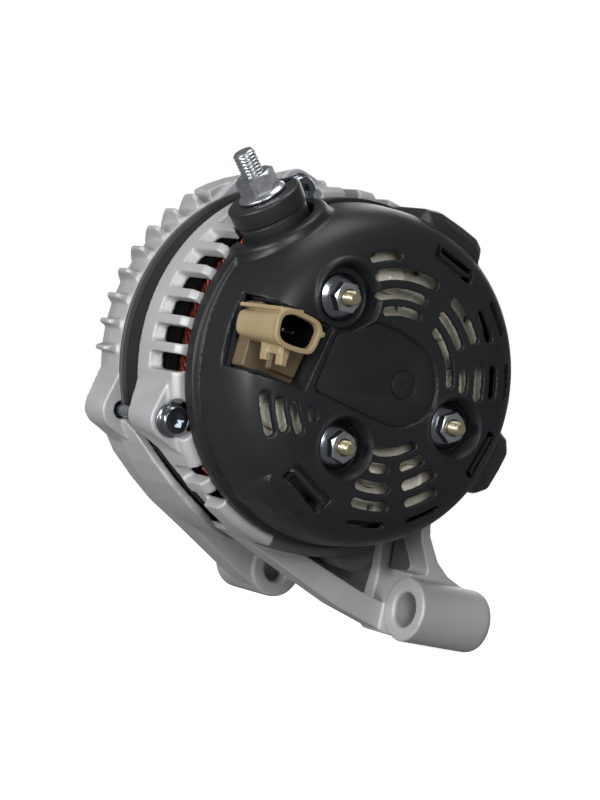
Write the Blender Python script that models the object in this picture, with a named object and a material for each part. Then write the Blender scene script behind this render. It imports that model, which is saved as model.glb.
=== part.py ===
"""Car alternator, built part by part.

Lengths below are millimetres. The shaft runs along Y with the pulley toward +Y, and the
axial stations are counted from the plane of the rear cover's rim, rearward negative.
build() moves them so that the origin is the centre of the shaft's front end face.
"""

import math

import bmesh
import bpy
import numpy as np
from mathutils import Matrix, Vector

MM = 0.001
SHAFT_END = 117.0
GAP = 0.3

COVER_R = 63.4
COVER_FACE = -36.0
COVER_WALL = 2.0
PAD_DEPTH = 0.8
NUTS = ((-25.0, 24.5, 11.5), (-13.6, -26.2, 9.8), (31.0, -10.7, 9.8))
NUT_SEAT = -29.0
STUD_TIP = -39.0
STUD_R = 2.5
FLANGE_R = 7.8

BPLUS_DEG = 133.0
BPLUS_Y = -6.0
BPLUS_TIP = 91.0

STATOR_R = 64.0
STATOR_BORE = 50.8
STATOR_Y = (18.3, 50.0)
SLOTS = 18
ROTOR_R = 50.3
POLE_PAIRS = 8

BOLT_CIRCLE = 67.2
BOLT_DEG = (26.0, 116.0, 206.0, 296.0)
BOLT_R = 2.5
BOLT_SEAT = 5.5
DEEP_SEAT = 17.6
SEATS = (BOLT_SEAT, BOLT_SEAT, BOLT_SEAT, DEEP_SEAT)

LUG_Y = 2.0
LUG_Z = -79.5
LUG_X = (54.0, 88.0)
LUG_R = 12.0
LUG_BORE_R = 6.4
EAR_X = 24.0
EAR_Z = -75.4
EAR_Y = (46.0, 73.0)
FRONT_WALL = 63.0
PULLEY_Y = 81.6
EAR_R = 11.0
EAR_BORE_R = 5.25

BRUSH_Y = (-12.0, -21.0)
SIDES = 12
RING_R = 7.6

MATERIALS = {
    "cast": ((0.52, 0.52, 0.53), 0.55, 0.85),
    "cover": ((0.035, 0.037, 0.040), 0.55, 0.0),
    "black": ((0.025, 0.025, 0.027), 0.5, 0.0),
    "tan": ((0.50, 0.38, 0.22), 0.5, 0.0),
    "steel": ((0.55, 0.56, 0.58), 0.3, 1.0),
    "zinc": ((0.68, 0.70, 0.72), 0.25, 1.0),
    "brass": ((0.62, 0.52, 0.30), 0.3, 1.0),
    "copper": ((0.42, 0.12, 0.06), 0.35, 0.8),
    "core": ((0.06, 0.065, 0.07), 0.6, 0.4),
    "plate": ((0.50, 0.47, 0.40), 0.5, 0.6),
    "diode": ((0.62, 0.58, 0.48), 0.45, 0.5),
    "carbon": ((0.04, 0.04, 0.04), 0.6, 0.3),
}


def polar(radius, degrees):
    angle = math.radians(degrees)
    return (radius * math.cos(angle), radius * math.sin(angle))


def material(name):
    found = bpy.data.materials.get(name)
    if found:
        return found
    colour, roughness, metallic = MATERIALS[name]
    made = bpy.data.materials.new(name)
    made.use_nodes = True
    shader = made.node_tree.nodes["Principled BSDF"]
    shader.inputs["Base Color"].default_value = (*colour, 1.0)
    shader.inputs["Roughness"].default_value = roughness
    shader.inputs["Metallic"].default_value = metallic
    return made


def build(name, mesh_data, look, smooth=30.0):
    """Make one object in metres from millimetre vertices and faces."""
    points, faces = mesh_data
    mesh = bpy.data.meshes.new(name)
    placed = [((x * MM), ((y - SHAFT_END) * MM), (z * MM)) for x, y, z in points]
    mesh.from_pydata(placed, [], faces)
    work = bmesh.new()
    work.from_mesh(mesh)
    bmesh.ops.recalc_face_normals(work, faces=work.faces)
    work.to_mesh(mesh)
    work.free()
    mesh.materials.append(material(look))
    made = bpy.data.objects.new(name, mesh)
    bpy.context.collection.objects.link(made)
    finish(made, smooth)
    return made


def finish(made, smooth):
    mesh = made.data
    mesh.shade_smooth()
    mesh.set_sharp_from_angle(angle=math.radians(smooth))


def join(*pieces):
    """Put several closed meshes in one cutter; they must not touch each other."""
    points, faces = [], []
    for more_points, more_faces in pieces:
        start = len(points)
        points += list(more_points)
        faces += [tuple(start + i for i in face) for face in more_faces]
    return points, faces


def combine(made, other, operation, smooth=30.0):
    """Apply one Boolean of mesh data to an object and drop the cutter."""
    cutter = build("cutter", other, "black", smooth)
    step = made.modifiers.new("step", "BOOLEAN")
    step.operation = operation
    step.solver = "EXACT"
    step.object = cutter
    bpy.context.view_layer.update()
    graph = bpy.context.evaluated_depsgraph_get()
    result = bpy.data.meshes.new_from_object(made.evaluated_get(graph))
    made.modifiers.clear()
    old = made.data
    look = old.materials[0]
    made.data = result
    result.materials.clear()
    result.materials.append(look)
    bpy.data.meshes.remove(old)
    bpy.data.objects.remove(cutter, do_unlink=True)
    clean(made)
    finish(made, smooth)


def clean(made):
    """Merge doubled points and flat neighbouring faces."""
    work = bmesh.new()
    work.from_mesh(made.data)
    bmesh.ops.remove_doubles(work, verts=work.verts, dist=1e-6)
    bmesh.ops.dissolve_limit(
        work, angle_limit=math.radians(0.2), verts=work.verts, edges=work.edges
    )
    bmesh.ops.triangulate(work, faces=[f for f in work.faces if len(f.verts) > 4])
    work.to_mesh(made.data)
    work.free()


def ring(profile, count):
    """Turn a closed (radius, station) outline that stays off the axis."""
    points = []
    for i in range(count):
        a = 2 * math.pi * i / count
        points += [(r * math.cos(a), y, r * math.sin(a)) for r, y in profile]
    size = len(profile)
    faces = []
    for i in range(count):
        j = (i + 1) % count
        for k in range(size):
            n = (k + 1) % size
            faces.append((i * size + k, i * size + n, j * size + n, j * size + k))
    return points, faces


def solid(profile, count):
    """Turn an open (radius, station) outline and close it with two flat ends."""
    points = []
    size = len(profile)
    for i in range(count):
        a = 2 * math.pi * i / count
        points += [(r * math.cos(a), y, r * math.sin(a)) for r, y in profile]
    faces = []
    for i in range(count):
        j = (i + 1) % count
        for k in range(size - 1):
            faces.append((i * size + k, i * size + k + 1, j * size + k + 1, j * size + k))
    faces.append(tuple(i * size for i in range(count)))
    faces.append(tuple(i * size + size - 1 for i in reversed(range(count))))
    return points, faces


def prism(outline, y0, y1):
    """Extrude an (x, z) outline along the shaft direction."""
    size = len(outline)
    points = [(x, y0, z) for x, z in outline] + [(x, y1, z) for x, z in outline]
    faces = [(i, (i + 1) % size, size + (i + 1) % size, size + i) for i in range(size)]
    faces.append(tuple(range(size)))
    faces.append(tuple(range(2 * size - 1, size - 1, -1)))
    return points, faces


def tube(outline, hole, y0, y1):
    """Extrude an outline with a hole of the same number of corners."""
    size = len(outline)
    points = []
    for loop, y in ((outline, y0), (outline, y1), (hole, y1), (hole, y0)):
        points += [(x, y, z) for x, z in loop]
    faces = []
    for part in range(4):
        a, b = part * size, ((part + 1) % 4) * size
        for i in range(size):
            n = (i + 1) % size
            faces.append((a + i, a + n, b + n, b + i))
    return points, faces


def circle(x, z, radius, count, turn=0.0):
    steps = [2 * math.pi * i / count + turn for i in range(count)]
    return [(x + radius * math.cos(a), z + radius * math.sin(a)) for a in steps]


def block(x0, x1, y0, y1, z0, z1):
    return prism([(x0, z0), (x1, z0), (x1, z1), (x0, z1)], y0, y1)


def moved(mesh_data, matrix):
    points, faces = mesh_data
    return [tuple(matrix @ Vector(p)) for p in points], faces


def radial(mesh_data, degrees, station):
    """Stand a mesh built along Y on the line that leaves the shaft at one angle."""
    x, z = polar(1.0, degrees)
    outward = Vector((x, 0.0, z))
    forward = Vector((0.0, 1.0, 0.0))
    side = outward.cross(forward)
    turn = Matrix((side, outward, forward)).transposed()
    return moved(mesh_data, Matrix.Translation((0.0, station, 0.0)) @ turn.to_4x4())


def crossways(mesh_data, y, z):
    """Lay a mesh built along Y on a line parallel to X."""
    points, faces = mesh_data
    return [(py, y + px, z + pz) for px, py, pz in points], faces


def arc_slot(radius, half, start, end, y0, y1):
    """A slot of constant width that follows a circle round the shaft."""
    steps = max(1, round(abs(end - start) / 12.0))
    outer = [polar(radius + half, start + (end - start) * i / steps) for i in range(steps + 1)]
    inner = [polar(radius - half, end - (end - start) * i / steps) for i in range(steps + 1)]
    tip = math.degrees(half * 0.85 / radius)
    cap_end = [polar(radius + half * 0.5, end + tip), polar(radius - half * 0.5, end + tip)]
    cap_start = [polar(radius - half * 0.5, start - tip), polar(radius + half * 0.5, start - tip)]
    return prism(outer + cap_end + inner + cap_start, y0, y1)


def cells(radii, angles, stations, keep):
    """Closed mesh of the kept cells of a round grid; keep(r, a, y) sees cell centres."""
    nr, na, ny = len(radii) - 1, len(angles), len(stations) - 1
    kept = np.zeros((nr, na, ny), dtype=bool)
    for i in range(nr):
        for j in range(na):
            last = angles[j + 1] if j + 1 < na else angles[0] + 360.0
            for k in range(ny):
                middle_r = (radii[i] + radii[i + 1]) / 2
                middle_y = (stations[k] + stations[k + 1]) / 2
                kept[i, j, k] = keep(middle_r, (angles[j] + last) / 2 % 360.0, middle_y)
    index, points, faces = {}, [], []

    def corner(i, j, k):
        key = (i, j % na, k)
        if key not in index:
            index[key] = len(points)
            x, z = polar(radii[i], angles[j % na])
            points.append((x, stations[k], z))
        return index[key]

    for i, j, k in np.argwhere(kept):
        i, j, k = int(i), int(j), int(k)
        left, right = (j - 1) % na, (j + 1) % na
        if i == 0 or not kept[i - 1, j, k]:
            faces.append([(i, j, k), (i, j + 1, k), (i, j + 1, k + 1), (i, j, k + 1)])
        if i == nr - 1 or not kept[i + 1, j, k]:
            faces.append(
                [(i + 1, j, k), (i + 1, j, k + 1), (i + 1, j + 1, k + 1), (i + 1, j + 1, k)]
            )
        if not kept[i, left, k]:
            faces.append([(i, j, k), (i, j, k + 1), (i + 1, j, k + 1), (i + 1, j, k)])
        if not kept[i, right, k]:
            faces.append(
                [(i, j + 1, k), (i + 1, j + 1, k), (i + 1, j + 1, k + 1), (i, j + 1, k + 1)]
            )
        if k == 0 or not kept[i, j, k - 1]:
            faces.append([(i, j, k), (i + 1, j, k), (i + 1, j + 1, k), (i, j + 1, k)])
        if k == ny - 1 or not kept[i, j, k + 1]:
            faces.append(
                [(i, j, k + 1), (i, j + 1, k + 1), (i + 1, j + 1, k + 1), (i + 1, j, k + 1)]
            )
    return points, [tuple(corner(*c) for c in face) for face in faces]


def hex_nut(across, y0, y1, bore, flange):
    """Hexagon nut round Y at the origin, with a round flange at its y1 end."""
    radius = across / math.sqrt(3)
    edge = y1 + math.copysign(1.6, y0 - y1)
    hexagon = [polar(radius * flat(i), i * 30.0) for i in range(SIDES)]
    loops = [
        (hexagon, y0),
        (hexagon, edge),
        (circle(0, 0, flange, SIDES), edge),
        (circle(0, 0, flange, SIDES), y1),
        (circle(0, 0, bore, SIDES), y1),
        (circle(0, 0, bore, SIDES), y0),
    ]
    points = []
    for loop, y in loops:
        points += [(x, y, z) for x, z in loop]
    faces = []
    for part in range(len(loops)):
        a, b = part * SIDES, ((part + 1) % len(loops)) * SIDES
        for i in range(SIDES):
            n = (i + 1) % SIDES
            faces.append((a + i, a + n, b + n, b + i))
    return points, faces


def flat(step):
    """Distance to a hexagon's side at steps of 30 degrees, as a share of its corner radius."""
    away = (step % 2) * 30.0 - 30.0
    return math.cos(math.radians(30.0)) / math.cos(math.radians(away))


# ---- rear cover -------------------------------------------------------------------

COVER_SLOTS = (
    (24.8, 1.6, ((79, 112), (8, 57), (267, 306))),
    (30.8, 1.8, ((79, 114), (35, 61), (5, 18), (268, 279), (293, 308))),
    (37.7, 2.1, ((76, 114), (34, 60), (2, 19), (262, 281), (293, 312))),
    (44.2, 1.7, ((101, 116), (31, 45), (4, 18), (263, 281), (293, 309))),
    (51.0, 1.2, ((30, 45), (4, 18), (265, 282), (293, 309))),
)
LEFT_SLOTS = ((51.2, 196, 212), (46.6, 199, 212), (41.4, 202, 216), (34.9, 207, 213))
PAD = (
    (-18.5, 14.8), (-12.2, 19.0), (-2.0, 18.2), (10.5, 14.3), (15.5, 10.5), (18.6, 5.0),
    (20.0, 0.0), (19.8, -6.0), (15.4, -11.4), (10.0, -14.5), (5.0, -15.8), (1.0, -15.6),
    (-32.5, -9.8), (-28.5, 12.2),
)
WINDOW = ((-68.0, 20.0), (-29.5, 13.0), (-35.5, -10.5), (-68.0, -6.0))
CLIPS = ((70.5, 48.3, 9.3, 2.6), (338.5, 48.8, 9.0, 2.2), (240.0, 49.2, 9.8, 3.2))


def dome(shrink, face, rim):
    outline = (
        (46.5, -36.0), (52.0, -34.9), (56.5, -31.9), (59.6, -27.6), (61.4, -20.5), (62.4, -10.0),
    )
    lift = [shrink * (1.0 if k < 3 else 0.4) for k in range(len(outline))]
    profile = [(r - shrink, y + up) for (r, y), up in zip(outline, lift)]
    return solid([(profile[0][0], face)] + profile[1:] + [rim], 44)


def clip_box(degrees, radius, half_long, half_wide, y0, y1):
    x, z = polar(1.0, degrees)
    corners = []
    for along, out in ((-1, -1), (1, -1), (1, 1), (-1, 1)):
        reach = radius + out * half_wide
        slide = along * half_long
        corners.append((x * reach - z * slide, z * reach + x * slide))
    return prism(corners, y0, y1)


def sector(r0, r1, a0, a1, y0, y1, steps=5):
    outer = [polar(r1, a0 + (a1 - a0) * i / steps) for i in range(steps + 1)]
    inner = [polar(r0, a1 - (a1 - a0) * i / steps) for i in range(steps + 1)]
    return prism(outer + inner, y0, y1)


def rear_cover():
    cover = build("rear_cover", dome(0.0, COVER_FACE, (COVER_R, 0.0)), "cover")
    upper = sector(54.0, 66.5, 58.0, 76.0, -19.0, -2.0)
    lower = sector(54.0, 68.5, 333.0, 350.0, -19.0, -2.0)
    combine(cover, join(upper, lower), "UNION")
    collar = radial(solid([(19.0, 40.0), (19.0, 61.0), (17.6, 62.4)], 28), BPLUS_DEG, BPLUS_Y)
    combine(cover, collar, "UNION")
    hollow = build("hollow", dome(COVER_WALL, COVER_FACE + 2.0, (COVER_R - 2.2, 1.0)), "cover")
    cups = [prism(circle(x, z, r + 1.6, 20), -60.0, NUT_SEAT + 2.0) for x, z, r in NUTS]
    combine(hollow, join(*cups), "DIFFERENCE")
    ports = radial(solid([(18.0, 60.2), (18.0, 70.0)], 28), BPLUS_DEG, BPLUS_Y)
    combine(hollow, ports, "DIFFERENCE")
    inner = ([tuple(v.co / MM + Vector((0, SHAFT_END, 0))) for v in hollow.data.vertices],
             [tuple(f.vertices) for f in hollow.data.polygons])
    bpy.data.objects.remove(hollow, do_unlink=True)
    combine(cover, inner, "DIFFERENCE")
    pockets = [prism(circle(x, z, r, 20), -60.0, NUT_SEAT) for x, z, r in NUTS]
    combine(cover, join(*pockets), "DIFFERENCE")
    combine(cover, prism(PAD, -60.0, COVER_FACE + PAD_DEPTH), "DIFFERENCE")
    holes = [prism(circle(x, z, 3.6, 10), -32.0, -20.0) for x, z, r in NUTS]
    well = radial(solid([(14.6, 46.0), (14.6, 80.0)], 28), BPLUS_DEG, BPLUS_Y)
    combine(cover, join(well, *holes), "DIFFERENCE")
    slots = []
    for radius, half, spans in COVER_SLOTS:
        slots += [arc_slot(radius, half, a, b, -50.0, -26.0) for a, b in spans]
    slots += [arc_slot(r, 1.7, a, b, -50.0, -22.0) for r, a, b in LEFT_SLOTS]
    clips = [clip_box(a, r, h, w, -50.0, -22.0) for a, r, h, w in CLIPS]
    combine(cover, join(*slots, *clips), "DIFFERENCE")
    combine(cover, prism(WINDOW, -60.0, -19.0), "DIFFERENCE")
    combine(cover, block(-90, 90, 0.0, 40.0, -90, 90), "DIFFERENCE")
    return cover


def cover_fixings():
    for number, (x, z, _) in enumerate(NUTS, 1):
        stud = solid([(STUD_R - 0.8, STUD_TIP), (STUD_R, STUD_TIP + 0.8), (STUD_R, -1.6)], 12)
        build(f"cover_stud_{number}", moved(stud, Matrix.Translation((x, 0, z))), "brass")
        nut = hex_nut(10.0, NUT_SEAT - 7.0, NUT_SEAT - GAP, STUD_R + GAP, FLANGE_R)
        build(f"cover_nut_{number}", moved(nut, Matrix.Translation((x, 0, z))), "zinc")


def output_terminal():
    stud = solid([(4.0, 52.0), (4.0, 90.0), (3.3, BPLUS_TIP)], 16)
    build("b_plus_stud", radial(stud, BPLUS_DEG, BPLUS_Y), "zinc")
    body = (
        (4.4, 60.3), (12.6, 60.3), (12.6, 64.8), (13.8, 65.2), (13.8, 73.5), (4.4, 73.5),
    )
    build("b_plus_insulator", radial(ring(body, 22), BPLUS_DEG, BPLUS_Y), "black")
    nut = hex_nut(12.5, 82.5, 73.5 + GAP, 4.0 + GAP, 8.6)
    build("b_plus_nut", radial(nut, BPLUS_DEG, BPLUS_Y), "zinc")


# ---- regulator, brushes, rectifier -------------------------------------------------

SOCKET = (-54.7, 7.7, 8.8, 6.4, -5.0)


def rounded(x, z, half_x, half_z, corner, degrees):
    turn = math.radians(degrees)
    outline = []
    for sx, sz, start in ((1, 1, 0), (-1, 1, 90), (-1, -1, 180), (1, -1, 270)):
        for step in (0, 30, 60, 90):
            a = math.radians(start + step)
            px = sx * (half_x - corner) + corner * math.cos(a)
            pz = sz * (half_z - corner) + corner * math.sin(a)
            outline.append(
                (x + px * math.cos(turn) - pz * math.sin(turn),
                 z + px * math.sin(turn) + pz * math.cos(turn))
            )
    return outline


def regulator():
    x, z, half_x, half_z, turn = SOCKET
    outline = ((-55.5, 15.5), (-31.5, 11.5), (-36.5, -8.3), (-56.5, -5.5))
    made = build("regulator", prism(outline, -28.5, -18.0), "tan")
    shell = prism(rounded(x, z, half_x, half_z, 3.6, turn), -54.0, -26.0)
    combine(made, shell, "UNION")
    rib = prism(((-62.2, 13.2), (-58.0, 12.8), (-58.0, 11.2), (-62.2, 11.6)), -53.0, -26.5)
    combine(made, rib, "UNION")
    lower = block(-57.5, -54.5, -36.0, -33.0, -3.0, 2.5)
    upper = block(-56.5, -53.5, -46.0, -43.0, -3.0, 2.5)
    combine(made, join(lower, upper), "UNION")
    socket = prism(rounded(x, z, half_x - 1.7, half_z - 1.7, 2.2, turn), -56.0, -32.0)
    combine(made, socket, "DIFFERENCE")
    half = 0.7
    pins = [block(px - half, px + half, -34.0, -27.6, pz - half, pz + half) for px, pz in pin_places()]
    combine(made, join(*pins), "DIFFERENCE")


def pin_places():
    x, z, _, _, turn = SOCKET
    a = math.radians(turn)
    return [(x + s * math.cos(a), z + s * math.sin(a)) for s in (-4.2, 0.0, 4.2)]


def connector_pins():
    for number, (x, z) in enumerate(pin_places(), 1):
        pin = block(x - 0.4, x + 0.4, -44.0, -27.9, z - 0.4, z + 0.4)
        build(f"connector_pin_{number}", pin, "brass")


def brushes():
    holder = build("brush_holder", block(-30.0, -10.6, -29.0, -5.0, -5.0, 5.0), "black")
    bores = [block(-27.5, -5.0, y - 2.4, y + 2.4, -3.4, 3.4) for y in BRUSH_Y]
    combine(holder, join(*bores), "DIFFERENCE")
    for number, y in enumerate(BRUSH_Y, 1):
        brush = block(-18.5, -RING_R - GAP, y - 2.1, y + 2.1, -3.1, 3.1)
        build(f"brush_{number}", brush, "carbon")
        coil = spring(1.6, 0.3, -23.8, -18.8, 4)
        build(f"brush_spring_{number}", crossways(coil, y, 0.0), "steel")


def spring(radius, wire, start, end, turns):
    """Coil of round wire along the local Y axis, closed by two flat caps."""
    steps, sides = turns * 6, 4
    points, faces = [], []
    for i in range(steps + 1):
        a = 2 * math.pi * turns * i / steps
        y = start + wire + (end - start - 2 * wire) * i / steps
        for j in range(sides):
            b = 2 * math.pi * j / sides
            r = radius + wire * math.cos(b)
            points.append((r * math.cos(a), y + wire * math.sin(b), r * math.sin(a)))
    for i in range(steps):
        for j in range(sides):
            n = (j + 1) % sides
            faces.append((i * sides + j, i * sides + n, (i + 1) * sides + n, (i + 1) * sides + j))
    faces.append(tuple(range(sides)))
    faces.append(tuple(steps * sides + j for j in reversed(range(sides))))
    return points, faces


DIODE_PLACES = (
    (36.0, 95.0), (33.0, 48.0), (33.0, 8.0), (33.0, 283.0), (40.0, 306.0), (43.0, 207.5),
)
DIODE_R = 5.6


def rectifier():
    positive = horseshoe(21.5, 50.5, 149.0, -163.0, -24.0, -21.0)
    plate = build("rectifier_plate_positive", positive, "plate")
    holes = [prism(circle(*polar(r, a), DIODE_R + GAP, 12), -30, -15) for r, a in DIODE_PLACES]
    studs = [prism(circle(x, z, 5.0, 10), -30, -15) for x, z, _ in NUTS]
    combine(plate, join(*holes, *studs), "DIFFERENCE")
    negative = horseshoe(21.5, 54.0, 149.0, -163.0, -16.0, -13.0)
    plate = build("rectifier_plate_negative", negative, "plate")
    studs = [prism(circle(x, z, 5.0, 10), -30, -5) for x, z, _ in NUTS]
    combine(plate, join(*studs), "DIFFERENCE")
    for number, (radius, angle) in enumerate(DIODE_PLACES, 1):
        x, z = polar(radius, angle)
        shape = solid([(4.8, -26.0), (DIODE_R, -25.4), (DIODE_R, -19.0)], 12)
        build(f"diode_{number}", moved(shape, Matrix.Translation((x, 0, z))), "diode")


def horseshoe(r0, r1, end, start, y0, y1):
    steps = 20
    outer = [polar(r1, start + (end - start) * i / steps) for i in range(steps + 1)]
    inner = [polar(r0, end - (end - start) * i / steps) for i in range(steps + 1)]
    return prism(outer + inner, y0, y1)


# ---- housings and stator -----------------------------------------------------------

VENT_PITCH = 8.6
FLANK = 12.0


def vent_angles(first, last):
    count = int(round((last - first) / VENT_PITCH))
    return [first + VENT_PITCH * i for i in range(count + 1)]


REAR_VENTS = vent_angles(137.0, 190.0) + [225.0, 235.0]
REAR_VENTS += [50.0, 62.0, 74.0, 86.0, 98.0, 8.0, 356.0, 344.0, 332.0]


SPOKES = (135.5, 242.5, 341.0, 26.0, 80.0, 190.0, 295.0)
REAR_PROFILE = (
    (17.8, -5.0), (59.9, -5.0), (59.9, 0.3), (66.6, 0.3), (66.6, 27.6), (64.3, 27.6),
    (64.3, 18.0), (60.5, 18.0), (60.5, 3.0), (57.0, -1.0), (22.0, -1.0), (22.0, 6.0), (17.8, 6.0),
)
FRONT_PROFILE = (
    (64.3, 40.4), (67.2, 40.4), (67.2, 50.0), (65.4, 57.0), (62.2, 63.0), (57.0, 66.8),
    (28.0, 67.0), (28.0, 77.5), (26.0, 80.5), (12.0, 80.5), (12.0, 77.2), (23.8, 77.2),
    (23.8, FRONT_WALL), (56.5, FRONT_WALL), (61.0, 60.5), (61.0, 50.3), (64.3, 50.3),
)


def wall_openings(centres, half, r0, r1, y0, y1):
    """Openings in an end wall between neighbouring spokes."""
    found = []
    order = sorted(c % 360.0 for c in centres)
    for here, after in zip(order, order[1:] + [order[0] + 360.0]):
        start, end = here + half, after - half
        if end - start > 6.0:
            found.append(sector(r0, r1, start, end, y0, y1, max(1, round((end - start) / 14.0))))
    return found


def boss(angle, radius, inner):
    """Outline of a boss on the bolt circle, with straight flanks running out into the wall."""
    x, z = polar(BOLT_CIRCLE, angle)
    crown = [polar(radius, angle + step) for step in (-32, -16, 0, 16, 32)]
    outline = [polar(inner + 1.4, angle - FLANK)]
    outline += [(x + px, z + pz) for px, pz in crown]
    outline.append(polar(inner + 1.4, angle + FLANK))
    return outline + wall_arc(angle + FLANK, angle - FLANK, inner, 4)


SKIRT = (
    (209.0, 39.0), (212.0, 33.5), (216.0, 30.0), (222.0, 26.8), (230.0, 23.6), (240.0, 21.9),
    (243.5, 23.2), (247.0, 28.4), (253.0, 29.4), (262.0, 33.0), (268.0, 39.0),
)
NOTCH = (
    (210.5, 28.5), (213.0, 25.2), (220.0, 19.0), (226.0, 14.6), (235.0, 12.6), (243.0, 12.2),
    (246.5, 14.0), (249.5, 17.0),
)


def rim_piece(stations, r0, r1, far):
    """Piece of wall between two radii, from an edge that curves with the angle to a flat end."""
    points, faces = [], []
    for angle, edge in stations:
        for r, y in ((r0, edge), (r1, edge), (r1, far), (r0, far)):
            x, z = polar(r, angle)
            points.append((x, y, z))
    for k in range(len(stations) - 1):
        a, b = k * 4, k * 4 + 4
        faces += [(a + i, a + (i + 1) % 4, b + (i + 1) % 4, b + i) for i in range(4)]
    faces += [(0, 1, 2, 3), tuple(len(points) - 1 - i for i in range(4))]
    return points, faces


def wall_arc(start, end, radius, steps):
    return [polar(radius, start + (end - start) * i / steps) for i in range(steps + 1)]


def vent_end(angle):
    return 12.0 if angle in (225.0, 235.0) else 17.4


def rear_housing():
    housing = build("rear_housing", ring(REAR_PROFILE, 40), "cast")
    vents = [sector(55.0, 70.0, a - 2.6, a + 2.6, 2.6, vent_end(a), 1) for a in REAR_VENTS]
    combine(housing, join(*vents), "DIFFERENCE")
    combine(housing, join(*wall_openings(SPOKES, 13.0, 26.0, 53.0, -9.0, 3.0)), "DIFFERENCE")
    lug = solid([(LUG_R, LUG_X[0]), (LUG_R, LUG_X[1] - 2.0), (LUG_R - 2.0, LUG_X[1])], 28)
    combine(housing, crossways(lug, LUG_Y, LUG_Z), "UNION")
    bosses = [prism(boss(a, 7.2, 64.9), seat, 27.5) for a, seat in zip(BOLT_DEG, SEATS)]
    for shape in bosses:
        combine(housing, shape, "UNION")
    combine(housing, rim_piece(NOTCH, 64.2, 80.0, 30.0), "DIFFERENCE")
    combine(housing, prism(arm_web(), 20.0, 25.0), "UNION")
    combine(housing, prism(arm_left(), 15.6, 27.0), "UNION")
    combine(housing, prism(arm_right(), 3.0, 27.3), "UNION")
    places = [polar(BOLT_CIRCLE, a) for a in BOLT_DEG]
    bore = crossways(solid([(LUG_BORE_R, 40.0), (LUG_BORE_R, 100.0)], 24), LUG_Y, LUG_Z)
    holes = [prism(circle(x, z, BOLT_R + 0.4, 12), 4.0, 40.0) for x, z in places]
    holes += [prism(circle(x, z, STUD_R + 0.4, 10), -10.0, 3.0) for x, z, _ in NUTS]
    combine(housing, join(bore, *holes), "DIFFERENCE")
    heads = [prism(circle(x, z, 6.4, 16), -30.0, seat) for (x, z), seat in zip(places, SEATS)]
    combine(housing, join(*heads), "DIFFERENCE")
    well = radial(solid([(14.3, 52.0), (14.3, 80.0)], 28), BPLUS_DEG, BPLUS_Y)
    combine(housing, well, "DIFFERENCE")
    return housing


def arm_web():
    outline = [
        (-20.0, -63.5), (16.5, -76.5), (34.0, -83.2), (53.0, -87.8), (57.0, -89.6),
        (86.0, -89.6), (86.0, -70.0), (72.0, -65.0), (65.0, -60.0), (58.5, -50.0), (57.5, -38.0),
    ]
    return outline + wall_arc(323.0, 250.0, 65.5, 8)


def arm_left():
    outline = [
        (-24.0, -61.6), (16.5, -77.6), (34.3, -84.3), (50.0, -88.3), (60.0, -91.0),
        (60.0, -80.6), (42.5, -76.3), (18.0, -68.6),
    ]
    return outline + wall_arc(269.0, 251.0, 65.5, 3)


def arm_right():
    return [
        (54.0, -90.6), (86.5, -90.6), (86.5, -69.0), (78.0, -66.8), (72.0, -64.5), (66.0, -60.0),
        (60.0, -51.0), (58.5, -45.0), (59.6, -27.5), (57.6, -30.8), (51.5, -40.4), (54.0, -65.5),
    ]


def stator():
    pitch = 360.0 / SLOTS
    angles = []
    for i in range(SLOTS):
        angles += [i * pitch, i * pitch + pitch * 0.28, i * pitch + pitch * 0.72]
    start, end = STATOR_Y

    def core(r, a, y):
        place = a % pitch / pitch
        return not (52.8 < r < 60.2 and 0.28 < place < 0.72)

    shape = cells((STATOR_BORE, 52.8, 60.2, STATOR_R), angles, (start, end), core)
    build("stator_core", shape, "core")
    wide = pitch * 0.44
    gap = math.degrees(GAP / 56.5)
    angles = []
    for i in range(SLOTS):
        low = i * pitch + pitch * 0.28 + gap
        angles += [low, low + wide - 2 * gap]

    def winding(r, a, y):
        inside = start - GAP < y < end + GAP
        place = a % pitch / pitch
        if inside:
            return 53.1 < r < 59.9 and 0.28 < place < 0.72
        return True

    rows = (4.0, start - GAP, end + GAP, 60.2)
    build("stator_winding", cells((53.1, 59.9), angles, rows, winding), "copper")


FIN_PITCH = 360.0 / 46
FRONT_FINS = [187.2 - FIN_PITCH * i for i in range(34) if not 92.0 < 187.2 - FIN_PITCH * i < 131.0]


def front_housing():
    housing = build("front_housing", ring(FRONT_PROFILE, 46), "cast")
    fins = [sector(64.8, 70.0, a - 1.5, a + 1.5, 44.0, 52.0, 1) for a in FRONT_FINS]
    fins.append(sector(64.8, 70.4, 94.0, 127.5, 43.0, 52.0, 4))
    combine(housing, join(*fins), "UNION")
    combine(housing, join(*wall_openings(front_spokes(), 9.3, 31.0, 55.0, 60.0, 75.0)), "DIFFERENCE")
    for angle in BOLT_DEG:
        radius = 5.0 if angle == BOLT_DEG[1] else 7.2
        combine(housing, prism(boss(angle, radius, 65.0), 40.4, 53.5), "UNION")
    combine(housing, rim_piece(SKIRT, 65.1, 68.0, 45.0), "UNION")
    combine(housing, prism(front_strut(), 48.0, 60.0), "UNION")
    combine(housing, prism(circle(EAR_X, EAR_Z, EAR_R, 30), *EAR_Y), "UNION")
    places = [polar(BOLT_CIRCLE, a) for a in BOLT_DEG]
    bores = [prism(circle(x, z, BOLT_R + 0.4, 12), 30.0, 51.5) for x, z in places]
    bores.append(prism(circle(EAR_X, EAR_Z, EAR_BORE_R, 24), 30.0, 100.0))
    combine(housing, join(*bores), "DIFFERENCE")
    return housing


def front_strut():
    outline = [
        (-37.0, -55.5), (-30.0, -60.0), (-12.0, -69.0), (9.0, -80.5), (16.0, -83.0), (22.0, -85.2),
        (28.0, -84.8), (33.0, -79.0), (37.5, -68.0), (40.0, -58.0),
    ]
    return outline + wall_arc(303.0, 236.5, 65.5, 8)


def front_spokes():
    return (26.0, 71.0, 116.0, 161.0, 206.0, 251.0, 296.0, 341.0)


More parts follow.
